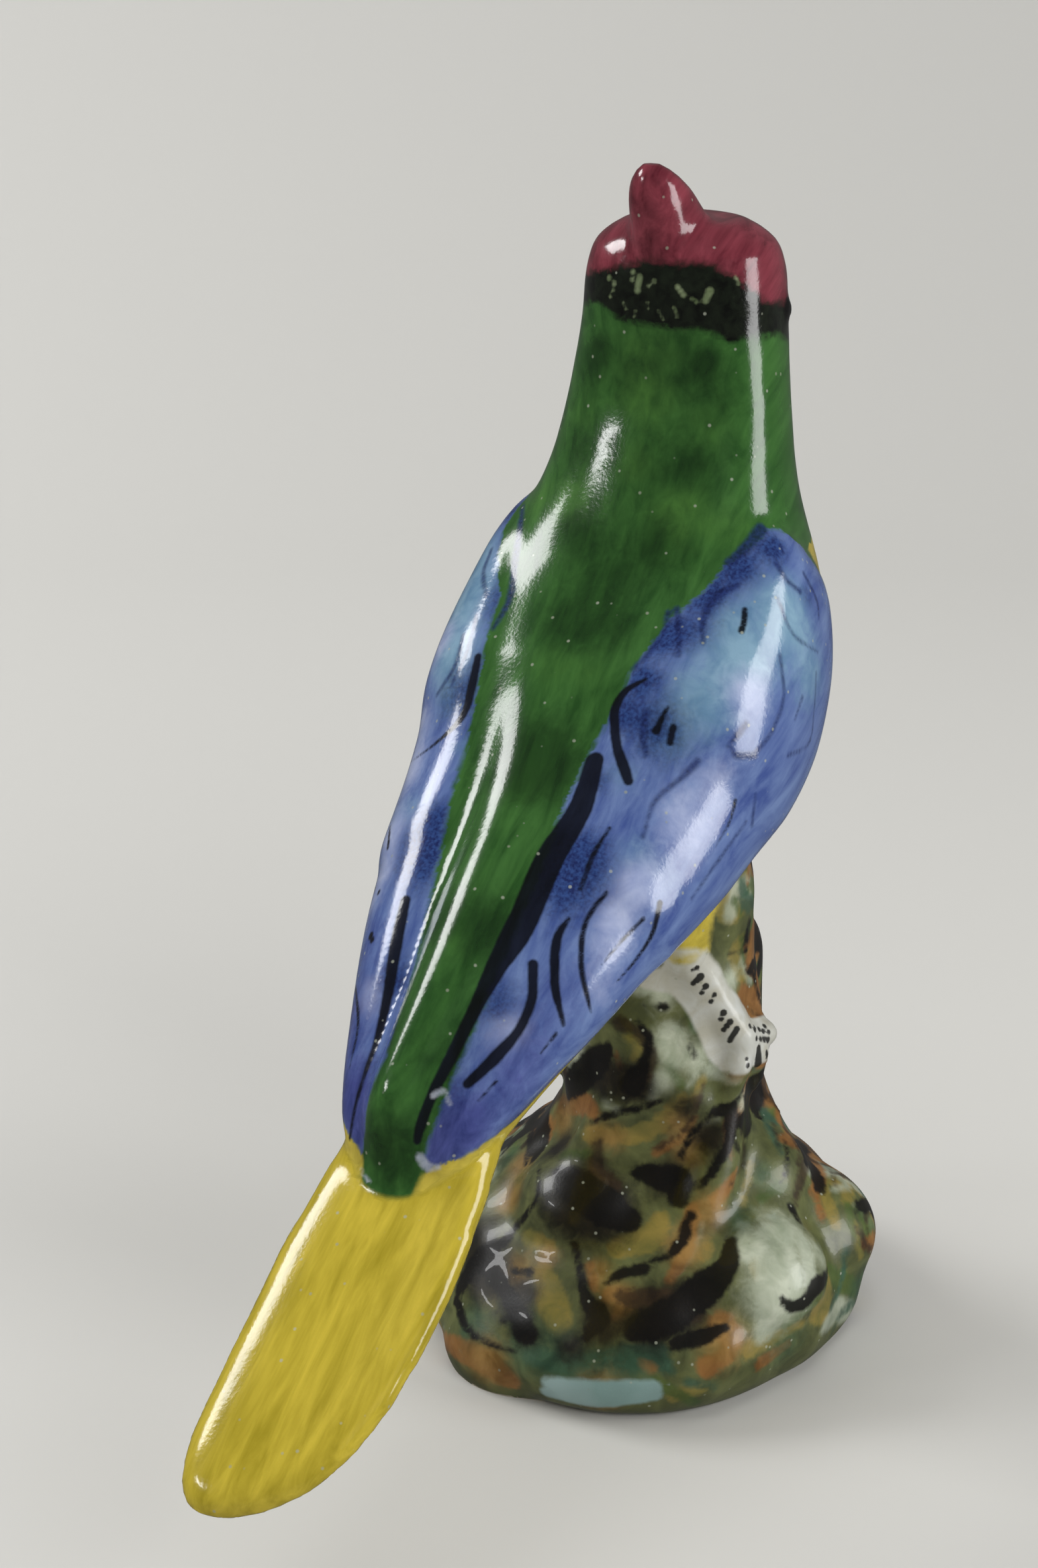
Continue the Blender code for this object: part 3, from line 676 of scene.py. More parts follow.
# %% [markdown]
# The black calligraphic strokes give the bird its life, so each one is laid where the photograph
# shows it. A stroke is a short list of places in the picture with the width of the brush there,
# in pixels. The finest ones are narrower than the mesh is coarse, so the skin is cut finer under
# them.

# %% Fine marks: ink, navy scallops, hatching on the legs, flecks in the collar
INK = [
    [(898, 1150, 30), (877, 1219, 40), (829, 1302, 46), (786, 1400, 46), (748, 1464, 32),
     (717, 1525, 22), (683, 1594, 20), (652, 1656, 17), (633, 1709, 16), (630, 1724, 12)],
    [(976, 1026, 6), (944, 1045, 12), (928, 1081, 16), (932, 1127, 16), (944, 1164, 18), (949, 1180, 15)],
    [(1008, 1069, 6), (998, 1089, 10), (991, 1104, 13)], [(1017, 1099, 12), (1012, 1122, 11)],
    [(1125, 921, 9), (1124, 938, 11), (1120, 953, 11)],
    [(1111, 1210, 8), (1102, 1242, 6), (1081, 1279, 2)],
    [(921, 1251, 5), (898, 1288, 9), (877, 1343, 7)],
    [(916, 1349, 7), (895, 1375, 8), (882, 1403, 9), (878, 1453, 10), (889, 1514, 8), (893, 1529, 4)],
    [(859, 1388, 7), (843, 1414, 14), (838, 1480, 15), (851, 1548, 8)],
    [(805, 1457, 16), (805, 1495, 16), (786, 1552, 15), (748, 1598, 20), (706, 1638, 15)],
    [(972, 1388, 7), (939, 1422, 6), (909, 1457, 2)],
    [(997, 1365, 11), (985, 1411, 9), (958, 1453, 7), (932, 1483, 3)], [(840, 1562, 7), (817, 1591, 3)],
    [(750, 1633, 5), (723, 1663, 3)],
    [(722, 992, 12), (712, 1040, 16), (700, 1080, 13), (664, 1118, 8), (622, 1150, 4)],
    [(612, 1361, 18), (599, 1422, 22), (587, 1495, 18), (572, 1564, 14), (553, 1617, 9),
     (537, 1671, 8), (528, 1721, 7)],
    [(537, 1492, 9), (541, 1541, 8), (528, 1614, 3)], [(566, 1344, 12), (572, 1348, 10)],
    [(560, 1414, 14), (562, 1420, 12)], [(589, 1250, 8), (586, 1280, 10)],
]
NAVY = [
    [(1113, 884, 7), (1081, 902, 10), (1063, 934, 8), (1061, 971, 4)],
    [(1022, 921, 8), (1026, 957, 7), (1024, 990, 5)], [(976, 1077, 7), (971, 1109, 7), (976, 1141, 5)],
    [(1054, 1150, 8), (1026, 1178, 6), (990, 1210, 4), (971, 1265, 3)],
    [(1127, 1095, 7), (1113, 1112, 7), (1100, 1127, 3)],
    [(1141, 1141, 7), (1113, 1141, 7), (1105, 1131, 4)],
    [(1178, 990, 4), (1184, 1045, 4), (1164, 1109, 5), (1140, 1138, 5)],
    [(1212, 1054, 5), (1201, 1086, 3)],
    [(1233, 1017, 3), (1230, 1070, 3), (1219, 1127, 4), (1191, 1141, 5)],
    [(1173, 852, 7), (1190, 878, 5), (1208, 893, 7)], [(1214, 866, 4), (1235, 911, 5), (1237, 934, 3)],
    [(1150, 800, 14), (1125, 830, 12), (1100, 850, 8)],
    [(1127, 1242, 3), (1081, 1306, 4), (1045, 1357, 3)], [(1141, 1201, 3), (1136, 1247, 4)],
    [(958, 1010, 6), (1000, 960, 5), (1010, 925, 6)], [(1175, 905, 4), (1200, 960, 3), (1235, 985, 3)],
    [(790, 765, 6), (778, 850, 9), (770, 905, 8), (745, 950, 5)],
    [(742, 830, 5), (730, 870, 6), (735, 900, 4)], [(700, 960, 5), (690, 1000, 6), (660, 1050, 4)],
    [(720, 930, 4), (705, 985, 5), (682, 1035, 4)],
]
HATCH = [
    [(1046, 1466, 3), (1053, 1462, 4)], [(1047, 1486, 4), (1058, 1476, 6)],
    [(1060, 1500, 4), (1066, 1490, 5)], [(1074, 1513, 4), (1079, 1503, 4)],
    [(1089, 1540, 4), (1093, 1530, 5)], [(1093, 1556, 4), (1103, 1544, 5)],
    [(1102, 1573, 4), (1113, 1555, 5)], [(1133, 1550, 4), (1140, 1556, 4)],
    [(1140, 1552, 4), (1153, 1558, 4)], [(1155, 1550, 4), (1161, 1559, 4)],
    [(1143, 1569, 4), (1160, 1571, 5)], [(1146, 1583, 5), (1145, 1608, 6)],
    [(1158, 1590, 4), (1160, 1607, 5)], [(1170, 1600, 4), (1168, 1612, 4)],
    [(1128, 1600, 3), (1130, 1610, 4)],
]
FLECKS = [
    [(956, 411, 8), (955, 422, 8)], [(966, 419, 10), (963, 438, 11)], [(988, 425, 7), (980, 432, 7)],
    [(1024, 434, 10), (1032, 445, 10)], [(1072, 440, 12), (1066, 454, 10)],
    [(1112, 420, 7), (1115, 428, 6)], [(926, 438, 6), (922, 448, 6)], [(942, 458, 5), (946, 466, 5)],
    [(978, 458, 5), (979, 466, 4)], [(1018, 465, 5), (1022, 478, 5)], [(995, 470, 4), (1002, 482, 4)],
    [(920, 420, 8), (928, 428, 9)], [(1045, 452, 5), (1052, 456, 5)], [(960, 470, 4), (958, 478, 4)],
]
MISSED = [
    [(546, 1770, 8), (556, 1784, 8)], [(634, 1748, 12), (645, 1762, 16), (660, 1764, 8)],
    [(655, 1655, 5), (670, 1648, 6), (680, 1668, 4)], [(1000, 2088, 3), (1008, 2090, 3)],
]
print("fine marks:", sum(len(strokes) for strokes in (INK, NAVY, HATCH, FLECKS, MISSED)))

# %% [markdown]
# A ray caster answers where a place in the picture lies on the skin.

# %% Places on the skin
skin_tree = BVHTree.FromObject(figurine, bpy.context.evaluated_depsgraph_get())


def on_skin(x, y):
    """The point of the skin that shows at a place in the picture, in mm, with its depth."""
    ray = (eye_ahead + eye_right * ((x - PICTURE_WIDE / 2) / FOCAL_PIXELS)
           - eye_up * ((y - PICTURE_HIGH / 2) / FOCAL_PIXELS))
    hit = skin_tree.ray_cast(Vector(EYE_PLACE * MM), Vector(ray).normalized())[0]
    if hit is None:
        return None, None
    place = np.array(hit) / MM
    return place, float((place - EYE_PLACE) @ eye_ahead)


print("middle of the picture lies at, mm:", np.round(on_skin(PICTURE_WIDE / 2, PICTURE_HIGH / 2)[0], 1))

# %% [markdown]
# A mark thinner than the gaps between the skin's points would vanish, so the skin is divided once
# more along the edges of each mark, and nowhere else, because the whole skin as fine as that
# would be too heavy.

# %% A finer skin under the marks
FINE_REACH = 1.0

marks = []
for stroke in INK + NAVY + HATCH + FLECKS:
    for a, b in zip(stroke, stroke[1:]):
        for part in np.linspace(0.0, 1.0, max(int(math.dist(a[:2], b[:2]) / 8.0), 2)):
            x, y, width = np.array(a) * (1.0 - part) + np.array(b) * part
            place, depth = on_skin(x, y)
            if place is not None:
                reach = FINE_REACH + width / 2 * depth / FOCAL_PIXELS
                marks += [(place, reach), (place * [-1.0, 1.0, 1.0], reach)]
mark_tree = KDTree(len(marks))
for i, (place, reach) in enumerate(marks):
    mark_tree.insert(place * MM, i)
mark_tree.balance()
bm = bmesh.new()
bm.from_mesh(figurine.data)
fine = set()
for vert in bm.verts:
    spot, i, gap = mark_tree.find(vert.co)
    if abs(gap / MM - marks[i][1] + FINE_REACH) < FINE_REACH:
        fine.add(vert.index)
thin = [edge for edge in bm.edges if all(vert.index in fine for vert in edge.verts)]
bmesh.ops.subdivide_edges(bm, edges=thin, cuts=1, use_grid_fill=True)
bmesh.ops.triangulate(bm, faces=[face for face in bm.faces if len(face.verts) > 4])
bm.to_mesh(figurine.data)
bm.free()
figurine.data.calc_loop_triangles()
print("triangles in the skin:", len(figurine.data.loop_triangles))

# %% [markdown]
# From here on the points of the skin are worked on as arrays, and the field of a group of forms is
# how far each point lies from it.

# %% Points of the skin


def skin_points():
    """Places in mm and normals of all points of the skin."""
    count = len(figurine.data.vertices)
    places = np.empty(count * 3)
    normals = np.empty(count * 3)
    figurine.data.vertices.foreach_get("co", places)
    figurine.data.vertex_normals.foreach_get("vector", normals)
    return places.reshape(-1, 3) / MM, normals.reshape(-1, 3)


points, normals = skin_points()
# Softening can push a point out of the cast piece's box by a hair, so the skin is kept inside it.
points = np.clip(points, cad_low, cad_high)
figurine.data.vertices.foreach_set("co", (points * MM).ravel())
figurine.data.update()
points, normals = skin_points()
# The rays from here on meet the finer skin.
skin_tree = BVHTree.FromObject(figurine, bpy.context.evaluated_depsgraph_get())


def distances(meshes):
    """How far each point of the skin lies from a group of forms, in mm."""
    bm = bmesh.new()
    for mesh in meshes:
        bm.from_mesh(mesh)
    tree = BVHTree.FromBMesh(bm)
    bm.free()
    return np.array([tree.find_nearest(Vector(p * MM))[3] for p in points]) / MM


from_bird, from_tail, from_rock, from_leg, from_beak, from_eye = (
    distances(group) for group in (bird_forms, tail_forms, rock_forms, leg_forms, beak_forms, eye_forms))
print("points nearest to the rock:", int((from_rock < from_bird).sum()))

# %% [markdown]
# On the bird itself a place is given as the share of the way from rump to crown and the angle
# round the body from the middle of the back. The nearest point of a fine grid over the body
# gives both for every point of the skin.

# %% Where each point lies on the body
GRID_LIFT = 0.8
grid_shares = np.linspace(0.0, 1.0, 260)
grid_angles = np.radians(np.arange(-180.0, 180.0, 1.5))
grid_rows = smooth_rows(BODY, grid_shares)
grid_tree = KDTree(len(grid_shares) * len(grid_angles))
for i, row in enumerate(grid_rows):
    for j, place in enumerate(section(row, grid_angles, GRID_LIFT)):
        grid_tree.insert(place, i * len(grid_angles) + j)
grid_tree.balance()
nearest = np.array([grid_tree.find(p)[1] for p in points])
share = grid_shares[nearest // len(grid_angles)]
angle = np.degrees(grid_angles[nearest % len(grid_angles)])
girth = (grid_rows[nearest // len(grid_angles), 3] + grid_rows[nearest // len(grid_angles), 4]) / 2
print("points on the bird's left:", int((angle > 0).sum()))

# %% [markdown]
# The painter's fields: the wings' blue, the crown's maroon, the black collar, the yellow belly.
# Each field is stored as a signed distance in millimetres, positive inside. A distance can be
# blurred, roughened or thresholded by the material, which a plain mask cannot.

# %% Painted fields
# Share of the way along and the angle of each painted edge, on the bird's right and left.
RIGHT_INNER = [(0.734, 64), (0.691, 38), (0.625, 21), (0.552, 16), (0.394, 13), (0.301, 18),
               (0.224, 20), (0.131, 24), (0.062, 27), (0.040, 33)]
LEFT_INNER = [(0.726, 67), (0.618, 32), (0.533, 27), (0.371, 26), (0.228, 19), (0.116, 12),
              (0.058, 23), (0.040, 35)]
WING_LOWER = [(0.734, 74), (0.72, 88), (0.68, 100), (0.62, 110), (0.55, 113), (0.45, 112),
              (0.40, 106), (0.30, 108), (0.20, 106), (0.11, 84), (0.066, 58), (0.040, 34)]
BELLY_EDGE = [(row[0], row[1] + 6 * (row[0] > 0.5)) for row in WING_LOWER[1:]] + [
    (0.735, 122), (0.755, 142), (0.78, 160), (0.81, 181)]
CROWN_EDGE = [
    (-180, 0.86), (-120, 0.91), (-95, 0.932), (-77, 0.937), (-49, 0.965), (-31, 0.977), (3, 0.973),
    (32, 0.961), (77, 0.945), (95, 0.932), (120, 0.91), (180, 0.86),
]
COLLAR_EDGE = [
    (-180, 0.85), (-120, 0.885), (-88, 0.905), (-70, 0.908), (-46, 0.903), (-28, 0.915), (-12, 0.912),
    (11, 0.914), (33, 0.928), (70, 0.918), (90, 0.905), (120, 0.885), (180, 0.85),
]


def edge_angle(table):
    """The angle of an edge at each point's share."""
    shares, angles = np.array(sorted(table)).T
    return np.interp(share, shares, angles)


def edge_share(table):
    """The share of an edge at each point's angle."""
    angles, shares = np.array(table).T
    return np.interp(angle, angles, shares)


BLEED = 0.3
side_angle = abs(angle)
inner = np.where(angle < 0, edge_angle(RIGHT_INNER), edge_angle(LEFT_INNER))
lower = edge_angle(WING_LOWER)
mm_per_degree = math.pi / 180 * girth
fields = {
    "wing": np.minimum.reduce([(side_angle - inner) * mm_per_degree, (lower - side_angle) * mm_per_degree,
                               (0.734 - share) * BODY_LENGTH, (share - 0.040) * BODY_LENGTH]),
    "belly": np.minimum((side_angle - edge_angle(BELLY_EDGE)) * mm_per_degree,
                        (0.85 - share) * BODY_LENGTH),
    "crown": (share - edge_share(CROWN_EDGE)) * BODY_LENGTH,
    "collar": (share - edge_share(COLLAR_EDGE)) * BODY_LENGTH,
    "tail": np.minimum.reduce([from_bird, from_rock, from_leg]) - from_tail,
    "rock": np.minimum(from_bird, from_tail) - from_rock,
    "leg": np.minimum.reduce([from_bird, from_tail, from_rock]) - from_leg,
    "beak": from_bird - from_beak,
    "eye": from_bird - from_eye,
}
on_bird = np.minimum.reduce([from_tail, from_rock, from_leg]) - from_bird
for name in ("wing", "belly", "crown", "collar"):
    fields[name] = np.minimum(fields[name], on_bird + BLEED)
print("painted fields:", ", ".join(fields))

# %% [markdown]
# Rays carry a stroke onto the skin, where it becomes a chain of touching discs, and its field is
# how far a point lies inside them. Strokes that the picture can't show are the mirror image of
# the others, kept only where the camera doesn't see them.

# %% A brush that paints on the skin
# Fields stop at these distances, in mm, and the brush touches down every few pixels.
FIELD_FLOOR, FIELD_CEILING = -6.0, 12.0
BRUSH_STEP = 4.0


def brushed(strokes, mirrored=False):
    """Signed distance in mm, positive inside, to strokes of (x, y, width) in the picture."""
    field = np.full(len(points), FIELD_FLOOR)
    for stroke in strokes:
        length = sum(math.dist(a[:2], b[:2]) for a, b in zip(stroke, stroke[1:]))
        places, radii = [], []
        for x, y, width in smooth_rows(stroke, np.linspace(0.0, 1.0, max(int(length / BRUSH_STEP), 2))):
            place, depth = on_skin(x, y)
            if place is not None:
                places.append(place)
                radii.append(width / 2 * depth / FOCAL_PIXELS)
        stamp(field, places, radii)
        if mirrored:
            twins = [place * [-1.0, 1.0, 1.0] for place in places]
            kept = [i for i, twin in enumerate(twins) if unseen(twin)]
            stamp(field, [twins[i] for i in kept], [radii[i] for i in kept])
    return field


def unseen(place):
    """True where the skin nearest to a place faces away from the camera."""
    _, normal, _, _ = skin_tree.find_nearest(Vector(place * MM))
    return float(np.array(normal) @ (place - EYE_PLACE)) > 0.0


def stamp(field, places, radii):
    """Add discs of paint to a field."""
    if not places:
        return
    places, radii = np.array(places), np.array(radii)
    close = (points > places.min(0) + FIELD_FLOOR) & (points < places.max(0) - FIELD_FLOOR)
    near = np.nonzero(close.all(1))[0]
    for part in np.array_split(near, len(near) // 4000 + 1):
        gaps = np.linalg.norm(points[part][:, None] - places[None], axis=2)
        field[part] = np.maximum(field[part], (radii[None] - gaps).max(axis=1))


def washed(patches):
    """Soft patches, 0 to 1, from (x, y, radius in pixels, strength) in the picture, and their
    mirror images."""
    left_bare = np.ones(len(points))
    for x, y, radius, strength in patches:
        place, depth = on_skin(x, y)
        if place is None:
            continue
        reach = radius * depth / FOCAL_PIXELS
        for twin in (place, place * [-1.0, 1.0, 1.0]):
            left_bare *= 1.0 - strength * np.exp(-(((points - twin) / reach) ** 2).sum(1))
    return 1.0 - left_bare


# %% [markdown]
# The navy scallops and the hatching are so thin that they would break up between the points of
# the skin, so they are painted with a broader brush than the real one.

# %% Strokes on the wings
NAVY_SPREAD = 1.5


def widened(strokes, spread):
    return [[(x, y, width * spread) for x, y, width in stroke] for stroke in strokes]


ink = brushed(INK, mirrored=True)
navy = brushed(widened(NAVY, NAVY_SPREAD), mirrored=True)
print("inked points:", int((ink > 0).sum()), "navy points:", int((navy > 0).sum()))

# %% [markdown]
# Under the ink the wing is wet-on-wet: turquoise over the shoulder, lavender lower down, a
# darker blue that gathers along the back, violet at the tips. These are soft patches. On the
# bird's right wing the turquoise and lavender patches also carry painted sheen, laid along
# the band where the glaze shows a soft highlight. The back has darker and lighter greens. The
# rock is nearly black in its hollows, black-brown paint deepened with painted shade, warm and
# leaf green between them, and misty pale on the lumps, pale paint with a painted soft
# highlight on the right-hand lobe.

# %% Washes, painted sheen and painted shade on the wings, the back and the rock
# Turquoise paint, together with painted sheen where the first patches lie along the shoulder's soft
# highlight.
SKY_AND_SHEEN = [
    (1185, 930, 70, 0.9), (1120, 990, 70, 0.85), (1060, 1060, 60, 0.8), (1010, 1110, 40, 0.6),
    (1225, 1020, 60, 0.6), (960, 1290, 40, 0.4), (1000, 1330, 40, 0.35), (1060, 1420, 30, 0.6),
    (980, 1510, 32, 0.7), (920, 1560, 30, 0.6), (735, 880, 26, 0.5), (700, 1130, 26, 0.4),
]
# Lavender paint, together with painted sheen on the right wing's highlight blobs.
LILAC_AND_SHEEN = [
    (930, 1390, 34, 0.9), (960, 1340, 30, 0.8), (1130, 1050, 44, 0.75), (1080, 1180, 40, 0.6),
    (1040, 1245, 50, 0.85), (985, 1330, 46, 0.6), (920, 1440, 40, 0.55), (905, 1500, 40, 0.4),
    (760, 1560, 40, 0.35), (560, 1500, 30, 0.4),
]
DEEP = [
    (1169, 826, 32, 0.9), (1115, 856, 36, 0.95), (1068, 892, 36, 0.95), (1012, 962, 36, 0.95),
    (972, 1026, 32, 0.9), (940, 1080, 28, 0.8), (1220, 900, 26, 0.5), (900, 1180, 30, 0.6),
    (860, 1290, 40, 0.5), (640, 1300, 60, 0.8), (700, 1050, 60, 0.7), (760, 900, 44, 0.55),
    (600, 1480, 44, 0.7), (560, 1620, 40, 0.5), (655, 1250, 50, 0.8),
]
VIOLET = [
    (700, 1700, 60, 0.85), (650, 1740, 50, 0.8), (780, 1640, 60, 0.5), (850, 1500, 60, 0.35),
    (800, 1580, 60, 0.4),
]
DARK_GREEN = [
    (905, 530, 26, 0.95), (1050, 700, 50, 0.6), (880, 800, 44, 0.6), (800, 1150, 70, 0.8),
    (740, 1400, 60, 0.8), (900, 950, 60, 0.5), (680, 1600, 60, 0.6), (1010, 560, 60, 0.35),
    (1085, 600, 50, 0.4), (985, 700, 60, 0.3), (930, 880, 60, 0.45), (840, 930, 40, 0.35),
    (1000, 830, 60, 0.35), (720, 1500, 60, 0.3), (600, 1740, 60, 0.5),
]
LIGHT_GREEN = [
    (1030, 780, 50, 0.8), (980, 600, 40, 0.7), (870, 760, 30, 0.5), (1110, 800, 40, 0.5),
    (830, 1000, 40, 0.4), (880, 620, 40, 0.4), (1000, 530, 40, 0.4), (780, 1170, 40, 0.4),
    (960, 700, 36, 0.4), (690, 1420, 30, 0.3),
]
# Dark washes: black-brown paint, together with painted shade in the rock's hollows.
ROCK_DARK_AND_SHADE = [
    (908, 1621, 40, 0.9), (964, 1641, 26, 0.9), (853, 1621, 30, 0.8), (1075, 1718, 38, 0.9),
    (1006, 1780, 36, 0.9), (908, 1829, 60, 0.85), (860, 1801, 44, 0.85), (1034, 1968, 52, 0.9),
    (978, 2003, 46, 0.85), (742, 1912, 32, 0.8), (776, 1968, 36, 0.85), (797, 2017, 30, 0.8),
    (901, 1982, 24, 0.7), (1128, 1418, 18, 0.6),
]
ROCK_WARM = [
    (853, 1683, 36, 0.9), (929, 1718, 26, 0.6), (1027, 1697, 26, 0.8), (1075, 1829, 32, 0.9),
    (1034, 1885, 34, 0.9), (936, 1968, 36, 0.8), (901, 1919, 22, 0.7), (1096, 2024, 44, 0.9),
    (735, 2058, 44, 0.8), (1110, 1620, 22, 0.7),
]
# Pale paint on the lumps, together with a painted soft highlight on the right-hand lobe.
ROCK_MIST_AND_SHEEN = [
    (1179, 1954, 60, 0.95), (1131, 1885, 24, 0.9), (1186, 1857, 44, 0.8), (1013, 1579, 32, 0.9),
    (999, 1635, 20, 0.7), (1124, 1662, 22, 0.7), (1089, 1558, 22, 0.8), (1050, 1600, 26, 0.8),
    (1000, 1500, 26, 0.8), (1105, 1480, 22, 0.7), (1240, 1900, 30, 0.5),
]
ROCK_LEAF = [
    (860, 2051, 50, 0.8), (943, 2065, 46, 0.8), (1186, 2031, 44, 0.6), (1298, 1940, 36, 0.7),
    (1152, 1774, 26, 0.6), (770, 1750, 36, 0.6), (1055, 1545, 16, 0.8),
]
washes = {
    "rock_dark_and_shade": washed(ROCK_DARK_AND_SHADE), "rock_warm": washed(ROCK_WARM), "rock_mist_and_sheen": washed(ROCK_MIST_AND_SHEEN),
    "rock_leaf": washed(ROCK_LEAF),
    "sky_and_sheen": washed(SKY_AND_SHEEN), "lilac_and_sheen": washed(LILAC_AND_SHEEN), "deep": washed(DEEP), "violet": washed(VIOLET),
    "dark_green": washed(DARK_GREEN), "light_green": washed(LIGHT_GREEN),
}
print("washes:", ", ".join(f"{name} {amount.mean():.3f}" for name, amount in washes.items()))

# %% [markdown]
# The rock is painted fast and wet: ochre, olive and peach dabs, then black swirls over them. On
# the side that shows, each dab lies where the photograph has one.

# %% Dabs on the rock
ROCK_BLACK = [
    [(856, 1647, 34), (880, 1625, 50), (905, 1600, 46), (920, 1580, 16)],
    [(957, 1637, 44), (971, 1612, 22), (980, 1572, 14), (961, 1541, 9)],
    [(893, 1695, 6), (934, 1681, 13), (980, 1670, 11), (1000, 1662, 5)],
    [(808, 1676, 12), (805, 1700, 18), (801, 1734, 15), (794, 1761, 9)],
    [(814, 1761, 6), (812, 1807, 10), (792, 1839, 12), (764, 1872, 18), (727, 1899, 34), (695, 1945, 30)],
    [(1072, 1680, 12), (1099, 1676, 26), (1104, 1715, 22), (1081, 1761, 18), (1058, 1792, 11)],
    [(1075, 1682, 10), (1045, 1715, 12), (1030, 1745, 8)],
    [(850, 1775, 36), (880, 1800, 64), (925, 1830, 56), (955, 1845, 30)],
    [(960, 1770, 18), (995, 1778, 40), (1025, 1785, 44), (1026, 1810, 34)],
    [(1043, 1836, 16), (1030, 1875, 20), (1010, 1896, 14), (985, 1905, 8)],
    [(1104, 1876, 20), (1100, 1910, 34), (1060, 1950, 54), (1010, 1988, 54), (961, 2008, 44)],
    [(1095, 2005, 14), (1060, 2020, 26), (1020, 2030, 24)],
    [(915, 1938, 6), (938, 1925, 18), (975, 1917, 20)],
    [(868, 1878, 10), (876, 1920, 14), (888, 1965, 24), (906, 1990, 34), (888, 2018, 20)],
    [(725, 1905, 28), (752, 1935, 26), (778, 1975, 32), (794, 2015, 40)],
    [(780, 1990, 16), (759, 1996, 10)],
    [(690, 1965, 20), (704, 2005, 14), (735, 2029, 9), (780, 2042, 8)],
    [(775, 1920, 12), (800, 1922, 16)], [(1196, 1826, 18), (1207, 1845, 12)],
    [(1186, 1725, 8), (1190, 1750, 10), (1180, 1790, 7)], [(1219, 1722, 8), (1228, 1735, 11)],
    [(1044, 1580, 12), (1050, 1598, 9)], [(1132, 1392, 16), (1128, 1418, 18)],
    [(1100, 1440, 6), (1128, 1436, 8)], [(998, 1521, 14), (1003, 1521, 13)],
    [(975, 1517, 4), (990, 1519, 6)], [(1130, 1528, 4), (1160, 1538, 5)],
]
ROCK_BROWN = [
    [(985, 1738, 6), (1030, 1712, 8), (1053, 1672, 10), (1062, 1640, 6)],
    [(1120, 1700, 8), (1124, 1745, 10), (1105, 1790, 6)],
    [(905, 1725, 14), (900, 1760, 26), (930, 1790, 20)],
    [(935, 1545, 24), (965, 1560, 20), (985, 1600, 20), (975, 1630, 16)],
    [(940, 1960, 26), (1000, 1960, 30), (1050, 1990, 24)], [(1250, 1745, 10), (1262, 1790, 8)],
    [(1170, 1700, 7), (1178, 1740, 6)], [(1095, 1545, 7), (1130, 1560, 6)],
]
ROCK_ORANGE = [
    [(850, 1668, 30), (885, 1668, 36), (900, 1685, 16)], [(832, 1690, 16), (830, 1720, 12)],
    [(990, 1742, 12), (1025, 1722, 16), (1050, 1690, 12)],
    [(1048, 1830, 26), (1042, 1862, 26), (1030, 1900, 22), (1012, 1935, 16)],
    [(1080, 1815, 26), (1100, 1795, 22), (1112, 1770, 12)], [(893, 1915, 18), (897, 1945, 14)],
    [(920, 1958, 24), (950, 1965, 30), (925, 1990, 16)],
    [(660, 2022, 26), (730, 2058, 44), (770, 2085, 36)], [(690, 2035, 24), (700, 2050, 20)],
    [(1090, 2000, 40), (1105, 2020, 44)], [(1070, 2065, 36), (1100, 2050, 24)],
    [(930, 1590, 8), (936, 1612, 10)], [(1230, 1790, 14), (1240, 1840, 12)],
    [(1150, 2060, 24), (1190, 2030, 16)], [(970, 2060, 16), (985, 2068, 14)],
    [(1140, 1470, 10), (1150, 1490, 8)],
]
ROCK_OCHRE = [
    [(890, 1715, 22), (945, 1716, 30), (998, 1697, 30), (1030, 1660, 20)],
    [(948, 1565, 12), (970, 1578, 20), (960, 1600, 14)],
    [(935, 1885, 34), (985, 1868, 42), (1000, 1840, 24)],
    [(820, 1920, 30), (830, 1960, 50), (845, 1995, 44)],
    [(735, 1950, 30), (742, 1985, 30), (765, 2015, 20)], [(1145, 1912, 24), (1148, 1924, 24)],
    [(800, 1870, 30), (830, 1885, 26)], [(1225, 1745, 20), (1245, 1800, 24), (1262, 1850, 16)],
    [(1135, 1760, 12), (1120, 1820, 12)], [(1060, 1630, 18), (1050, 1660, 14)],
    [(1290, 1850, 12), (1300, 1900, 14)], [(1130, 2040, 30), (1210, 2000, 22)],
    [(1150, 1350, 18), (1145, 1380, 10)], [(1020, 2110, 30), (1060, 2100, 24)],
]
ROCK_OLIVE = [
    [(1046, 1530, 22), (1054, 1552, 24)], [(785, 1780, 22), (775, 1820, 20)],
    [(1070, 1720, 16), (1062, 1745, 16)], [(780, 1700, 20), (775, 1740, 20)],
    [(1010, 1610, 12), (1030, 1640, 12)], [(990, 2090, 26), (1050, 2120, 20)],
    [(1120, 1420, 16), (1150, 1440, 20)], [(1180, 1790, 20), (1150, 1810, 18)],
    [(1280, 1820, 14), (1290, 1870, 12)], [(850, 1745, 16), (900, 1742, 14)],
    [(1240, 1960, 20), (1190, 2000, 22)], [(1110, 1360, 16), (1120, 1385, 10)],
]
ROCK_TEAL = [
    [(800, 2045, 26), (860, 2060, 40), (930, 2058, 44), (990, 2045, 36), (1010, 2070, 20)],
    [(1150, 1680, 12), (1165, 1710, 16), (1180, 1740, 12)],
    [(1278, 1890, 14), (1270, 1940, 14), (1255, 1975, 12)], [(700, 2010, 12), (715, 2050, 14)],
    [(1130, 1500, 10), (1140, 1515, 8)], [(1085, 1560, 8), (1075, 1600, 8)],
    [(1170, 1840, 14), (1190, 1870, 12)], [(1300, 1945, 10), (1285, 1975, 10)],
    [(1040, 2090, 12), (1080, 2095, 12)],
]
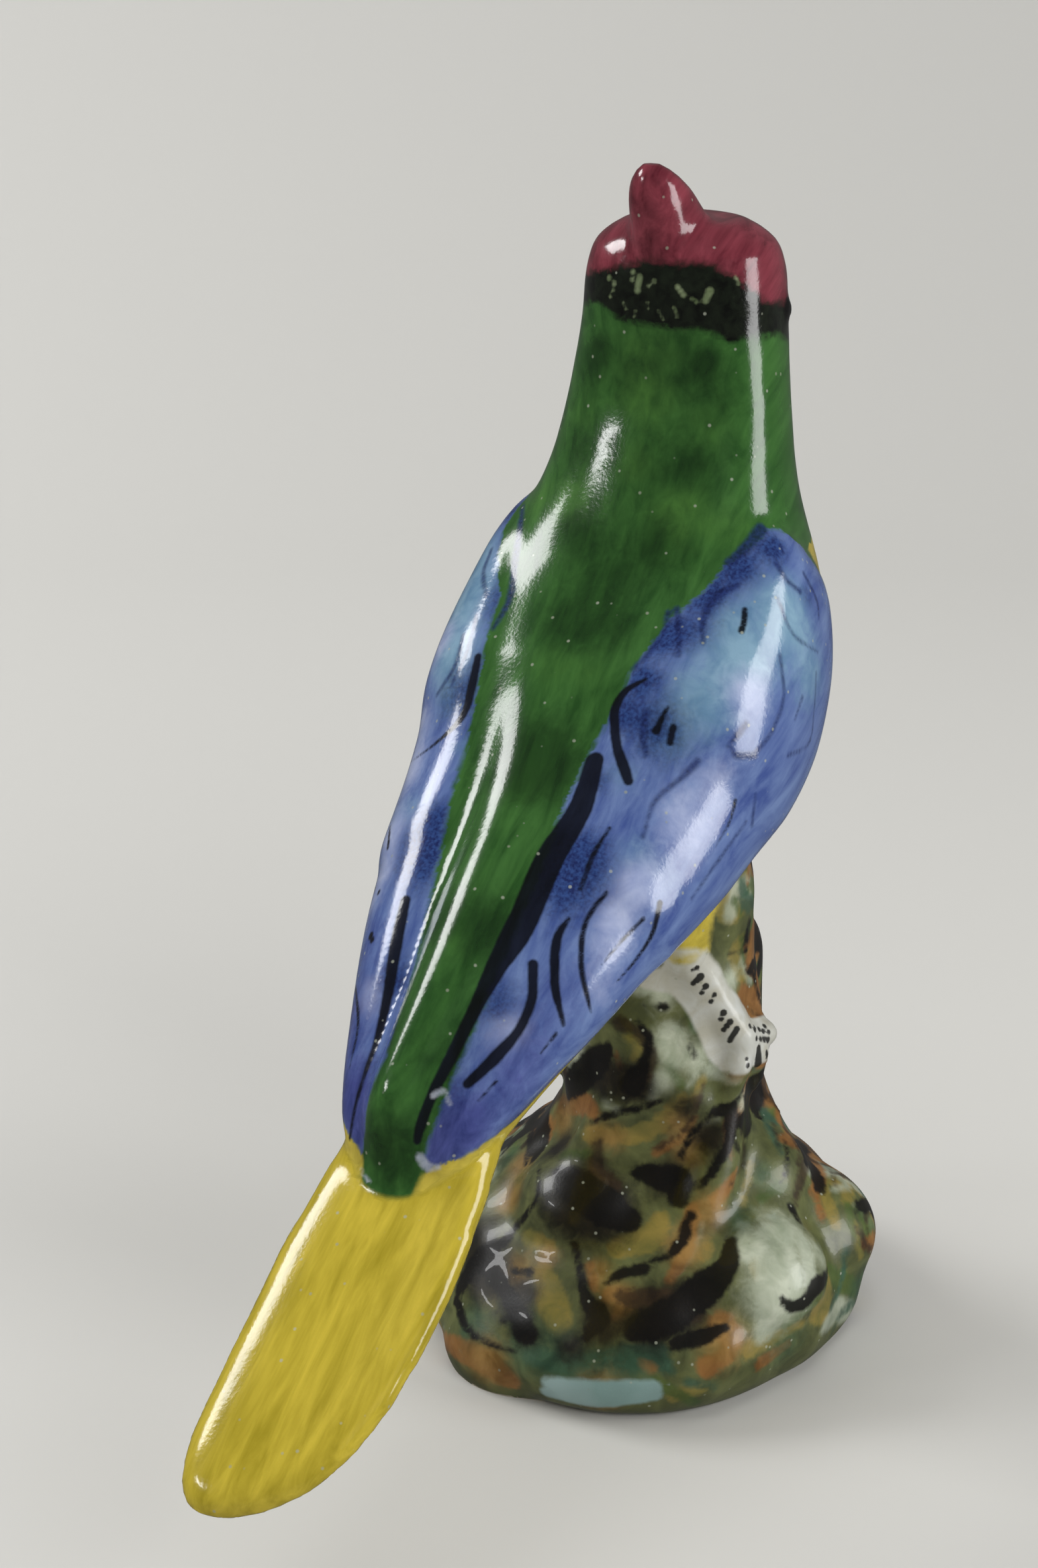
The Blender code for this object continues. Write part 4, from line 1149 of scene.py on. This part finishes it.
# Pale dabs of paint. The second stroke, down the right-hand lobe, is a painted highlight.
ROCK_PALE_AND_HIGHLIGHTS = [
    [(1165, 1870, 56), (1180, 1925, 76), (1170, 1985, 56), (1150, 2020, 26)],
    [(1120, 1850, 16), (1128, 1900, 16)], [(1015, 1560, 34), (1018, 1600, 30)],
    [(1000, 1625, 22), (985, 1655, 14)], [(915, 1668, 10), (930, 1676, 10)],
    [(1076, 1615, 24), (1110, 1630, 20)], [(1100, 1575, 20), (1105, 1600, 16)],
    [(1215, 1880, 30), (1225, 1930, 30)], [(1120, 1455, 14), (1140, 1470, 14)],
    [(1040, 1640, 8), (1065, 1610, 8)], [(1085, 1690, 3), (1060, 1700, 3)],
    [(1060, 1850, 6), (1045, 1890, 6), (1020, 1925, 5)],
    [(930, 1505, 20), (970, 1490, 30), (1010, 1480, 26)], [(1112, 1336, 26), (1104, 1380, 30)],
    [(1125, 1450, 26), (1135, 1480, 20)],
]
# Field, dabs, and the narrowest and widest brush for the unseen rock, in mm.
PALETTE = [("rock_ochre", ROCK_OCHRE, (2.0, 4.5)), ("rock_orange", ROCK_ORANGE, (1.5, 3.2)),
           ("rock_olive", ROCK_OLIVE, (1.5, 3.5)), ("rock_pale_and_highlights", ROCK_PALE_AND_HIGHLIGHTS, (1.2, 3.0)),
           ("rock_teal", ROCK_TEAL, (1.0, 2.4)), ("rock_brown", ROCK_BROWN, (1.0, 2.2)),
           ("rock_black", ROCK_BLACK, (0.8, 3.2))]
print("dabs that show:", sum(len(strokes) for _, strokes, _ in PALETTE))

# %% [markdown]
# Round the far side the same palette goes on in wandering strokes from a seeded random walk over
# the skin: each step turns a little and drops back onto the surface.

# %% Wandering strokes on the unseen rock
WALK_SEED = 12
WALK_STROKES = 300
WALK_STEPS = 22
WALK_STRIDE = 0.6
GRAZING = -20.0


def wander(field, rng, rows, widths):
    """Short strokes over the unseen rock, each a walk that keeps to the skin."""
    for start in rng.choice(rows, WALK_STROKES):
        place, heading = points[start], rng.normal(size=3)
        places, radii = [], []
        thick = rng.uniform(*widths) / 2
        steps = int(rng.integers(WALK_STEPS // 3, WALK_STEPS))
        for step in range(steps):
            spot, normal, _, _ = skin_tree.find_nearest(Vector(place * MM))
            normal = np.array(normal)
            heading = heading + rng.normal(size=3) * 0.35
            heading = heading - normal * (heading @ normal)
            heading = heading / np.linalg.norm(heading)
            places.append(np.array(spot) / MM)
            radii.append(thick * math.sin(math.pi * (step + 0.6) / (steps + 0.2)) ** 0.5)
            place = places[-1] + heading * WALK_STRIDE
        stamp(field, places, radii)


rng = np.random.default_rng(WALK_SEED)
facing_away = ((points - EYE_PLACE) * normals).sum(1) > GRAZING
bare_rock = (fields["rock"] > 0.3) & (points[:, 2] > 1.0) & (from_rock < 1.2)
hidden_rock = np.nonzero(bare_rock & facing_away)[0]
for name, strokes, widths in PALETTE:
    fields[name] = brushed(strokes)
    wander(fields[name], rng, hidden_rock, widths)
print("wandering strokes:", WALK_STROKES * len(PALETTE))

# %% [markdown]
# Last come the smallest marks: fine hatching on the legs, pale flecks in the collar, the white
# rims that the brush missed, and the patch of bare glaze at the foot. The white of the legs
# spreads from the belly's edge over the toes, and stops where the rock's colours begin.

# %% Hatching, flecks and bare glaze
WHITE = [[(975, 1482, 26), (1010, 1480, 44), (1045, 1505, 44), (1075, 1548, 50), (1100, 1590, 56),
          (1140, 1600, 56)]]
HATCH_SPREAD = 2.3
LEG_PAINT_STOP, LEG_BLEED = 32.5, 0.6
BARE = [
    [(830, 2092, 26), (900, 2102, 36), (985, 2098, 30)],
    [(826, 2104, 22), (900, 2118, 30), (988, 2108, 26)],
]
fields["leg"] = np.maximum(fields["leg"], np.minimum(brushed(WHITE, mirrored=True), LEG_BLEED - on_bird))
fields["leg"] = np.minimum(fields["leg"], points[:, 2] - LEG_PAINT_STOP)
fields["hatch"] = brushed(widened(HATCH, HATCH_SPREAD), mirrored=True)
fields["flecks"] = brushed(FLECKS)
fields["missed"] = brushed(MISSED, mirrored=True)
fields["bare"] = brushed(BARE)
fields["ink"] = ink
fields["navy"] = navy
print("hatch marks:", len(HATCH), "flecks:", len(FLECKS))

# %% [markdown]
# The arrays go onto the mesh as attributes, where a material can read them. Two more attributes
# hold places in millimetres: the plain place, and one stretched along the bird, so that a noise
# read from it runs the way the brush did.

# %% Write the map on the skin
underside = (points[:, 2] < 0.15) & (normals[:, 2] < -0.5)
outer_gap = np.minimum.reduce([from_bird, from_tail, from_rock, from_leg, from_beak, from_eye])
fields["unglazed"] = np.where(underside | (outer_gap > 1.6), 1.0, -1.0)
brush_way = np.stack([share * BODY_LENGTH, points[:, 0], points[:, 2] * 0.6 + points[:, 1] * 0.3], axis=1)
on_tail = fields["tail"] > 0
tail_run = (points - TAIL_ROOT) @ tail_along
brush_way[on_tail] = np.stack([tail_run, points[:, 0], (points - TAIL_ROOT) @ tail_up], axis=1)[on_tail]
for name, values in {**fields, **washes}.items():
    attribute = figurine.data.attributes.new(name, "FLOAT", "POINT")
    attribute.data.foreach_set("value", np.clip(values, FIELD_FLOOR, FIELD_CEILING).astype(np.float32))
for name, values in {"place_mm": points, "brush_mm": brush_way}.items():
    attribute = figurine.data.attributes.new(name, "FLOAT_VECTOR", "POINT")
    attribute.data.foreach_set("vector", values.astype(np.float32).ravel())
print("attributes on the skin:", len(figurine.data.attributes))

# %% [markdown]
# One small function adds a node with its settings and its links, and every material below is
# built with it. Colours are written as sRGB hex, as a colour picker shows them, and one function
# turns them to the linear values that Blender mixes.

# %% Colours and nodes


def linear(colour):
    """An sRGB hex colour as linear red, green, blue and alpha."""
    parts = [int(colour[i:i + 2], 16) / 255 for i in (1, 3, 5)]
    return [p / 12.92 if p <= 0.04045 else ((p + 0.055) / 1.055) ** 2.4 for p in parts] + [1.0]


def add_node(tree, kind, settings=None, links=None):
    """Add a node: settings fill its inputs or its own values, links join other nodes' outputs to it."""
    node = tree.nodes.new(kind)
    for name, value in (settings or {}).items():
        if isinstance(name, int) or name in node.inputs:
            node.inputs[name].default_value = value
        else:
            setattr(node, name, value)
    for name, source in (links or {}).items():
        tree.links.new(source, node.inputs[name])
    return node


def new_material(name):
    material = bpy.data.materials.new(name)
    material.use_nodes = True
    material.node_tree.nodes.clear()
    return material


print("white as linear:", linear("#ffffff"))

# %% [markdown]
# The finish is glazed earthenware: matt colour brushed on the fired clay, under a thick, clear,
# glossy glaze. The eye gets sharp highlights lying over soft, streaky colour. A glaze is a
# lead-free glass, so its index of refraction is about 1.52. A thin mirror coat over a slightly
# dull one gives each highlight a sharp core and a soft rim, and the rough rock is duller.
# Brush streaks are 1 to 2 mm apart and run far along the stroke, the clay shows through in
# mottles of about 3 mm, and the pigment grains are 0.3 mm.

# %% Textures of the brushwork
GLAZE_IOR = 1.52
GLAZE_ROUGHNESS, ROCK_ROUGHNESS = 0.15, 0.36
COAT_WEIGHT, COAT_ROUGHNESS = 0.22, 0.03
STREAK_SPACING_MM = 1.6
STREAK_LENGTH_MM = 11.0
MOTTLE_MM = 3.2
GRAIN_MM = 0.35
RAG_MM = 1.3

painted = new_material("underglaze_painted_earthenware")
tree = painted.node_tree
place_mm = add_node(tree, "ShaderNodeAttribute", {"attribute_name": "place_mm"}).outputs["Vector"]
brush_mm = add_node(tree, "ShaderNodeAttribute", {"attribute_name": "brush_mm"}).outputs["Vector"]
streak_way = add_node(tree, "ShaderNodeMapping", {
    "Scale": (1 / STREAK_LENGTH_MM, 1 / STREAK_SPACING_MM, 1 / STREAK_SPACING_MM)},
    {"Vector": brush_mm}).outputs["Vector"]
textures = {}
for name, vector, scale, detail, roughness, distortion in (
        ("streak", streak_way, 1.0, 4.0, 0.6, 0.4),
        ("mottle", place_mm, 1 / MOTTLE_MM, 3.0, 0.55, 0.6),
        ("cloud", place_mm, 1 / (3 * MOTTLE_MM), 2.0, 0.5, 0.3),
        ("grain", place_mm, 1 / GRAIN_MM, 1.0, 0.5, 0.0),
        ("rag", place_mm, 1 / RAG_MM, 3.0, 0.6, 0.5)):
    textures[name] = add_node(tree, "ShaderNodeTexNoise", {
        "Scale": scale, "Detail": detail, "Roughness": roughness, "Distortion": distortion},
        {"Vector": vector}).outputs["Fac"]

print("textures:", ", ".join(textures))

# %% [markdown]
# The order of the lists is the painter's order: ground colours, washes into them while they are
# wet, then the line work. A colour has two tones, for where the brush left it thin and thick.

# %% The palette
# Field, thin colour, thick colour, texture of its brushwork, half width of its soft edge in mm,
# how ragged the edge is in mm, how much of what lies under it is covered. A wash has no edge.
ROCK_LAYERS = [
    ("rock", "#666b40", "#44492a", "mottle", 0.3, 0.0, 1.0),
    ("rock_ochre", "#93803c", "#6f6a32", "mottle", 0.4, 0.7, 0.9),
    # The pale rock dabs include a painted highlight down the right-hand lobe.
    ("rock_pale_and_highlights", "#b4bba8", "#8f9884", "mottle", 0.6, 0.5, 0.8),
    ("rock_olive", "#55672f", "#3a4f22", "mottle", 0.4, 0.6, 0.85),
    ("rock_teal", "#3a5f4c", "#1d3b2e", "mottle", 0.5, 0.7, 0.85),
    ("rock_orange", "#9c6c38", "#70461a", "mottle", 0.4, 0.6, 0.9),
]
LAYERS = [
    ("rock_brown", "#40301e", "#20150c", "mottle", 0.4, 0.6, 0.85),
    ("rock_black", "#0c0805", "#030201", "mottle", 0.3, 0.5, 0.97),
    ("belly", "#cdb94a", "#a8983a", "streak", 0.4, 0.3, 1.0),
    ("tail", "#cdb73e", "#a08f22", "streak", 0.3, 0.1, 1.0),
    ("wing", "#6d83b2", "#3f5390", "streak", 0.35, 0.25, 1.0),
]
# The turquoise and lavender washes also carry painted sheen on the right wing.
WASHES = [
    ("sky_and_sheen", "#86a9bd", "#5f86a2", "mottle", 0.9),
    ("lilac_and_sheen", "#b4bddb", "#8f9cc4", "mottle", 0.9),
    ("deep", "#2c4780", "#131f52", "grain", 0.95),
    ("violet", "#494d92", "#2a3068", "streak", 0.85),
]
# The misty pale wash also carries a painted soft highlight, and the dark wash painted shade in the
# hollows.
ROCK_WASHES = [
    ("rock_leaf", "#46664a", "#274532", "mottle", 0.8),
    ("rock_warm", "#a58147", "#765722", "mottle", 0.8),
    ("rock_mist_and_sheen", "#ced4c0", "#a2ac93", "mottle", 0.85),
    ("rock_dark_and_shade", "#1c130b", "#080503", "rag", 0.95),
]
GREENS = [
    ("light_green", "#4c7a35", "#37602a", "streak", 0.9),
    ("dark_green", "#1f4218", "#122c10", "streak", 0.9),
]
OVER = [
    ("leg", "#c9cbc6", "#b4b2a4", "mottle", 0.3, 0.1, 1.0),
    ("collar", "#171e13", "#030502", "rag", 0.5, 0.6, 1.0),
    ("crown", "#8c3d49", "#561b26", "streak", 0.6, 0.7, 1.0),
    ("beak", "#a9853a", "#6f5222", "streak", 0.3, 0.1, 1.0),
    ("eye", "#0b0a09", "#020202", "mottle", 0.2, 0.0, 1.0),
    ("navy", "#1d2c63", "#0e1740", "grain", 0.30, 0.18, 0.85),
    ("ink", "#0a0d1c", "#020306", "streak", 0.16, 0.08, 0.97),
    ("hatch", "#14140f", "#060606", "mottle", 0.10, 0.05, 0.95),
    ("flecks", "#8d9a76", "#5f6f4a", "rag", 0.18, 0.2, 0.85),
    ("missed", "#c6cbd6", "#9aa3b4", "mottle", 0.30, 0.3, 0.9),
    ("bare", "#9fb8b8", "#7f9c98", "cloud", 0.35, 0.25, 1.0),
]
print("layers of colour:", sum(map(len, (GREENS, ROCK_LAYERS, ROCK_WASHES, LAYERS, WASHES, OVER))) + 1)

# %% [markdown]
# A signed distance becomes a mask with a threshold. Noise added before the threshold makes the
# edge ragged, and a wider threshold makes it soft, so one map serves dry and wet brushwork.

# %% Laying one colour over another


def paint(thin, thick, texture):
    """One colour, thin or thick as the brush pressed."""
    pressure = add_node(tree, "ShaderNodeMapRange", {"From Min": 0.32, "From Max": 0.68},
                        {"Value": textures[texture]})
    return add_node(tree, "ShaderNodeMix", {"data_type": "RGBA", 6: linear(thin), 7: linear(thick)},
                    {0: pressure.outputs["Result"]}).outputs[2]


def covered(under, thin, thick, texture, mask):
    """Brush one layer over the colours under it, where its mask lets it."""
    return add_node(tree, "ShaderNodeMix", {"data_type": "RGBA"},
                    {0: mask, 6: under, 7: paint(thin, thick, texture)}).outputs[2]


def field_mask(name, soft, ragged, strength):
    """Turn a signed distance into a mask with a soft and ragged edge."""
    field = add_node(tree, "ShaderNodeAttribute", {"attribute_name": name}).outputs["Fac"]
    roughened = add_node(tree, "ShaderNodeMath", {"operation": "MULTIPLY_ADD", 1: 2 * ragged},
                         {0: textures["rag"], 2: field})
    return add_node(tree, "ShaderNodeMapRange", {
        "interpolation_type": "SMOOTHSTEP", "From Min": ragged - soft, "From Max": ragged + soft,
        "To Max": strength}, {"Value": roughened.outputs[0]}).outputs["Result"]


def wash_mask(name, inside, strength):
    """A soft patch, kept inside a mask when one is given."""
    amount = add_node(tree, "ShaderNodeAttribute", {"attribute_name": name}).outputs["Fac"]
    uneven = add_node(tree, "ShaderNodeMath", {"operation": "MULTIPLY_ADD", 1: 0.5, 2: -0.25},
                      {0: textures["rag"]})
    blurred = add_node(tree, "ShaderNodeMath", {"operation": "ADD"}, {0: amount, 1: uneven.outputs[0]})
    mask = add_node(tree, "ShaderNodeMapRange", {
        "interpolation_type": "SMOOTHSTEP", "From Min": 0.05, "From Max": 0.85, "To Max": strength},
        {"Value": blurred.outputs[0]}).outputs["Result"]
    if inside is None:
        return mask
    return add_node(tree, "ShaderNodeMath", {"operation": "MULTIPLY"}, {0: mask, 1: inside}).outputs[0]


print("nodes for the textures:", len(tree.nodes))

# %% [markdown]
# Green is the ground of the whole bird, and everything else is brushed over it.

# %% Paint the bird
colour = paint("#3d6a30", "#234a1d", "streak")
for name, thin, thick, texture, strength in GREENS:
    colour = covered(colour, thin, thick, texture, wash_mask(name, None, strength))
for name, thin, thick, texture, soft, ragged, strength in ROCK_LAYERS:
    colour = covered(colour, thin, thick, texture, field_mask(name, soft, ragged, strength))
on_rock = field_mask("rock", 0.3, 0.0, 1.0)
for name, thin, thick, texture, strength in ROCK_WASHES:
    colour = covered(colour, thin, thick, texture, wash_mask(name, on_rock, strength))
for name, thin, thick, texture, soft, ragged, strength in LAYERS:
    mask = field_mask(name, soft, ragged, strength)
    colour = covered(colour, thin, thick, texture, mask)
for name, thin, thick, texture, strength in WASHES:
    colour = covered(colour, thin, thick, texture, wash_mask(name, mask, strength))
for name, thin, thick, texture, soft, ragged, strength in OVER:
    colour = covered(colour, thin, thick, texture, field_mask(name, soft, ragged, strength))
print("nodes for the colours:", len(tree.nodes))

# %% [markdown]
# Tiny pale specks are painted into the colour, a couple of millimetres apart: pinholes and
# grains from the firing, together with painted glints where grains catch the light. A cell
# pattern gives one speck to a cell, and a threshold on the distance to its middle keeps it
# small. Only some of the cells get one.

# %% Kiln specks and painted glints
SPECK_SPACING_MM = 1.3
SPECK_RADIUS = 0.16
SPECKLESS = 0.72

cells = add_node(tree, "ShaderNodeTexVoronoi", {"Scale": 1 / SPECK_SPACING_MM}, {"Vector": place_mm})
speck = add_node(tree, "ShaderNodeMapRange", {
    "From Min": SPECK_RADIUS, "From Max": SPECK_RADIUS * 0.5, "To Max": 0.6},
    {"Value": cells.outputs["Distance"]}).outputs["Result"]
chosen = add_node(tree, "ShaderNodeSeparateColor", {}, {"Color": cells.outputs["Color"]})
sparse = add_node(tree, "ShaderNodeMath", {"operation": "GREATER_THAN", 1: SPECKLESS},
                  {0: chosen.outputs[0]})
speck_and_glint_mask = add_node(tree, "ShaderNodeMath", {"operation": "MULTIPLY"}, {0: speck, 1: sparse.outputs[0]})
# Pale specks of the firing, together with painted glints.
colour = covered(colour, "#b9bdae", "#8f947f", "mottle", speck_and_glint_mask.outputs[0])
print("share of the cells with a speck:", round(1 - SPECKLESS, 2))

# %% [markdown]
# A dipped glaze is never flat: it ripples gently every few millimetres, and has pits too fine to
# see one by one.

# %% The glaze over everything
RIPPLE_MM = 5.0
RIPPLE_DEPTH_MM = 0.05
PIT_DEPTH_MM = 0.012

ripple = add_node(tree, "ShaderNodeTexNoise", {"Scale": 1 / RIPPLE_MM, "Detail": 1.0},
                  {"Vector": place_mm})
ripple_bump = add_node(tree, "ShaderNodeBump", {"Strength": 1.0, "Distance": RIPPLE_DEPTH_MM * MM},
                       {"Height": ripple.outputs["Fac"]})
pit_bump = add_node(tree, "ShaderNodeBump", {"Strength": 1.0, "Distance": PIT_DEPTH_MM * MM},
                    {"Height": textures["grain"], "Normal": ripple_bump.outputs["Normal"]})
sheen = add_node(tree, "ShaderNodeMapRange", {"To Min": GLAZE_ROUGHNESS, "To Max": ROCK_ROUGHNESS},
                 {"Value": on_rock})
glazed = add_node(tree, "ShaderNodeBsdfPrincipled", {
    "IOR": GLAZE_IOR, "Metallic": 0.0, "Coat Weight": COAT_WEIGHT,
    "Coat Roughness": COAT_ROUGHNESS, "Coat IOR": GLAZE_IOR},
    {"Base Color": colour, "Normal": pit_bump.outputs["Normal"], "Roughness": sheen.outputs["Result"]})
print("glaze roughness:", GLAZE_ROUGHNESS, "and on the rock:", ROCK_ROUGHNESS)

# %% [markdown]
# Biscuit is the bare fired clay. The glaze is wiped off the foot, so that the piece doesn't stick
# to the kiln shelf, and never reaches the inside. It is pale, chalky and dull.

# %% Biscuit under the foot, and the finished skin
BISCUIT_ROUGHNESS = 0.85
biscuit_tone = add_node(tree, "ShaderNodeMix", {
    "data_type": "RGBA", 6: linear("#d9d0bd"), 7: linear("#c3b79f")}, {0: textures["mottle"]})
biscuit = add_node(tree, "ShaderNodeBsdfPrincipled", {"Roughness": BISCUIT_ROUGHNESS, "IOR": 1.5},
                   {"Base Color": biscuit_tone.outputs[2], "Normal": pit_bump.outputs["Normal"]})
unglazed = add_node(tree, "ShaderNodeAttribute", {"attribute_name": "unglazed"}).outputs["Fac"]
wiped = add_node(tree, "ShaderNodeMapRange", {"From Min": -0.2, "From Max": 0.2}, {"Value": unglazed})
both = add_node(tree, "ShaderNodeMixShader", {}, {0: wiped.outputs["Result"], 1: glazed.outputs["BSDF"],
                                                  2: biscuit.outputs["BSDF"]})
add_node(tree, "ShaderNodeOutputMaterial", {}, {"Surface": both.outputs["Shader"]})
figurine.data.materials.clear()
figurine.data.materials.append(painted)
figurine.data.shade_smooth()
print("nodes in the glaze:", len(tree.nodes))

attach(figurine, "root")
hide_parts("songbird_figurine")

# %% [markdown]
# The studio is plain: a pale sweep that is floor and background in one, so that no corner shows.
# The glaze doesn't mirror it, or its blacks would turn grey.

# %% Sweep
SWEEP_WIDE, SWEEP_BACK, SWEEP_FRONT = 2.4, -0.62, 1.2
SWEEP_HIGH, SWEEP_CURVE = 1.3, 0.35

profile = [(SWEEP_FRONT, 0.0), (SWEEP_BACK + SWEEP_CURVE, 0.0)]
for a in np.linspace(0.0, math.pi / 2, 24)[1:]:
    profile.append((SWEEP_BACK + SWEEP_CURVE * (1 - math.sin(a)), SWEEP_CURVE * (1 - math.cos(a))))
profile.append((SWEEP_BACK, SWEEP_HIGH))
sweep_mesh = bpy.data.meshes.new("sweep")
bm = bmesh.new()
edges = [[bm.verts.new((x, y, z)) for y, z in profile] for x in (-SWEEP_WIDE / 2, SWEEP_WIDE / 2)]
for i in range(len(profile) - 1):
    bm.faces.new((edges[0][i], edges[0][i + 1], edges[1][i + 1], edges[1][i]))
bm.to_mesh(sweep_mesh)
bm.free()
sweep_mesh.shade_smooth()
sweep = bpy.data.objects.new("sweep", sweep_mesh)
sweep.rotation_euler.z = turn - math.pi
bpy.context.scene.collection.objects.link(sweep)
paper = new_material("matt_paper_sweep")
shade = add_node(paper.node_tree, "ShaderNodeBsdfPrincipled", {
    "Base Color": linear("#cbcac6"), "Roughness": 0.9, "Specular IOR Level": 0.2})
add_node(paper.node_tree, "ShaderNodeOutputMaterial", {}, {"Surface": shade.outputs["BSDF"]})
sweep.data.materials.append(paper)
sweep.visible_glossy = False
print("sweep, m:", SWEEP_WIDE, "wide and", round(SWEEP_FRONT - SWEEP_BACK, 2), "deep")

# %% [markdown]
# Glaze shows what stands around it, so the highlights are the lamps' own shapes. A small lamp
# behind the bird gives the spot on its neck, a wide window stands on its left, and a tall one on
# its right. Three soft lamps that the glaze doesn't mirror fill the rest, as a pale room does.

# %% Lamps
LIGHT_MIDDLE = np.array([0.0, 15.0, 75.0])
ROOM_STRENGTH = 0.12
# Name, shape, direction from +Y towards +X, height angle, lean of the lamp, distance, width and
# height in mm, power in watts, and whether the glaze mirrors it. Angles are in degrees.
LAMPS = [
    ("round_lamp", "ELLIPSE", 47.0, 25.5, 0.0, 700.0, 190.0, 36.0, 0.35, True),
    ("window", "RECTANGLE", 86.0, 33.0, 0.0, 700.0, 290.0, 190.0, 1.7, True),
    ("tall_window", "RECTANGLE", -106.0, 13.0, -20.0, 650.0, 270.0, 440.0, 2.2, True),
    ("ceiling", "RECTANGLE", 0.0, 84.0, 0.0, 900.0, 700.0, 700.0, 3.2, False),
    ("room_behind", "RECTANGLE", -60.0, 34.0, 0.0, 900.0, 500.0, 400.0, 2.9, False),
    ("room_left", "RECTANGLE", 80.0, 30.0, 0.0, 900.0, 500.0, 400.0, 2.0, False),
]
for name, shape, towards, height, lean, far, wide, high, power, mirrored in LAMPS:
    lamp = bpy.data.lights.new(name, "AREA")
    lamp.shape = shape
    lamp.size, lamp.size_y = wide * MM, high * MM
    lamp.energy = power
    a, e = math.radians(towards), math.radians(height)
    away = np.array([math.sin(a) * math.cos(e), math.cos(a) * math.cos(e), math.sin(e)])
    holder = bpy.data.objects.new(name, lamp)
    facing = Vector(away).to_track_quat("Z", "Y").to_matrix()
    facing = facing @ Matrix.Rotation(math.radians(lean), 3, "Z")
    holder.matrix_world = Matrix.Translation((LIGHT_MIDDLE + away * far) * MM) @ facing.to_4x4()
    holder.visible_glossy = mirrored
    bpy.context.scene.collection.objects.link(holder)
room = bpy.data.worlds.new("pale_room")
room.use_nodes = True
pale = room.node_tree.nodes["Background"]
pale.inputs["Color"].default_value = linear("#e6e6e4")
pale.inputs["Strength"].default_value = ROOM_STRENGTH
bpy.context.scene.world = room
bpy.context.scene.view_settings.view_transform = "Standard"
print("lamps:", len(LAMPS))
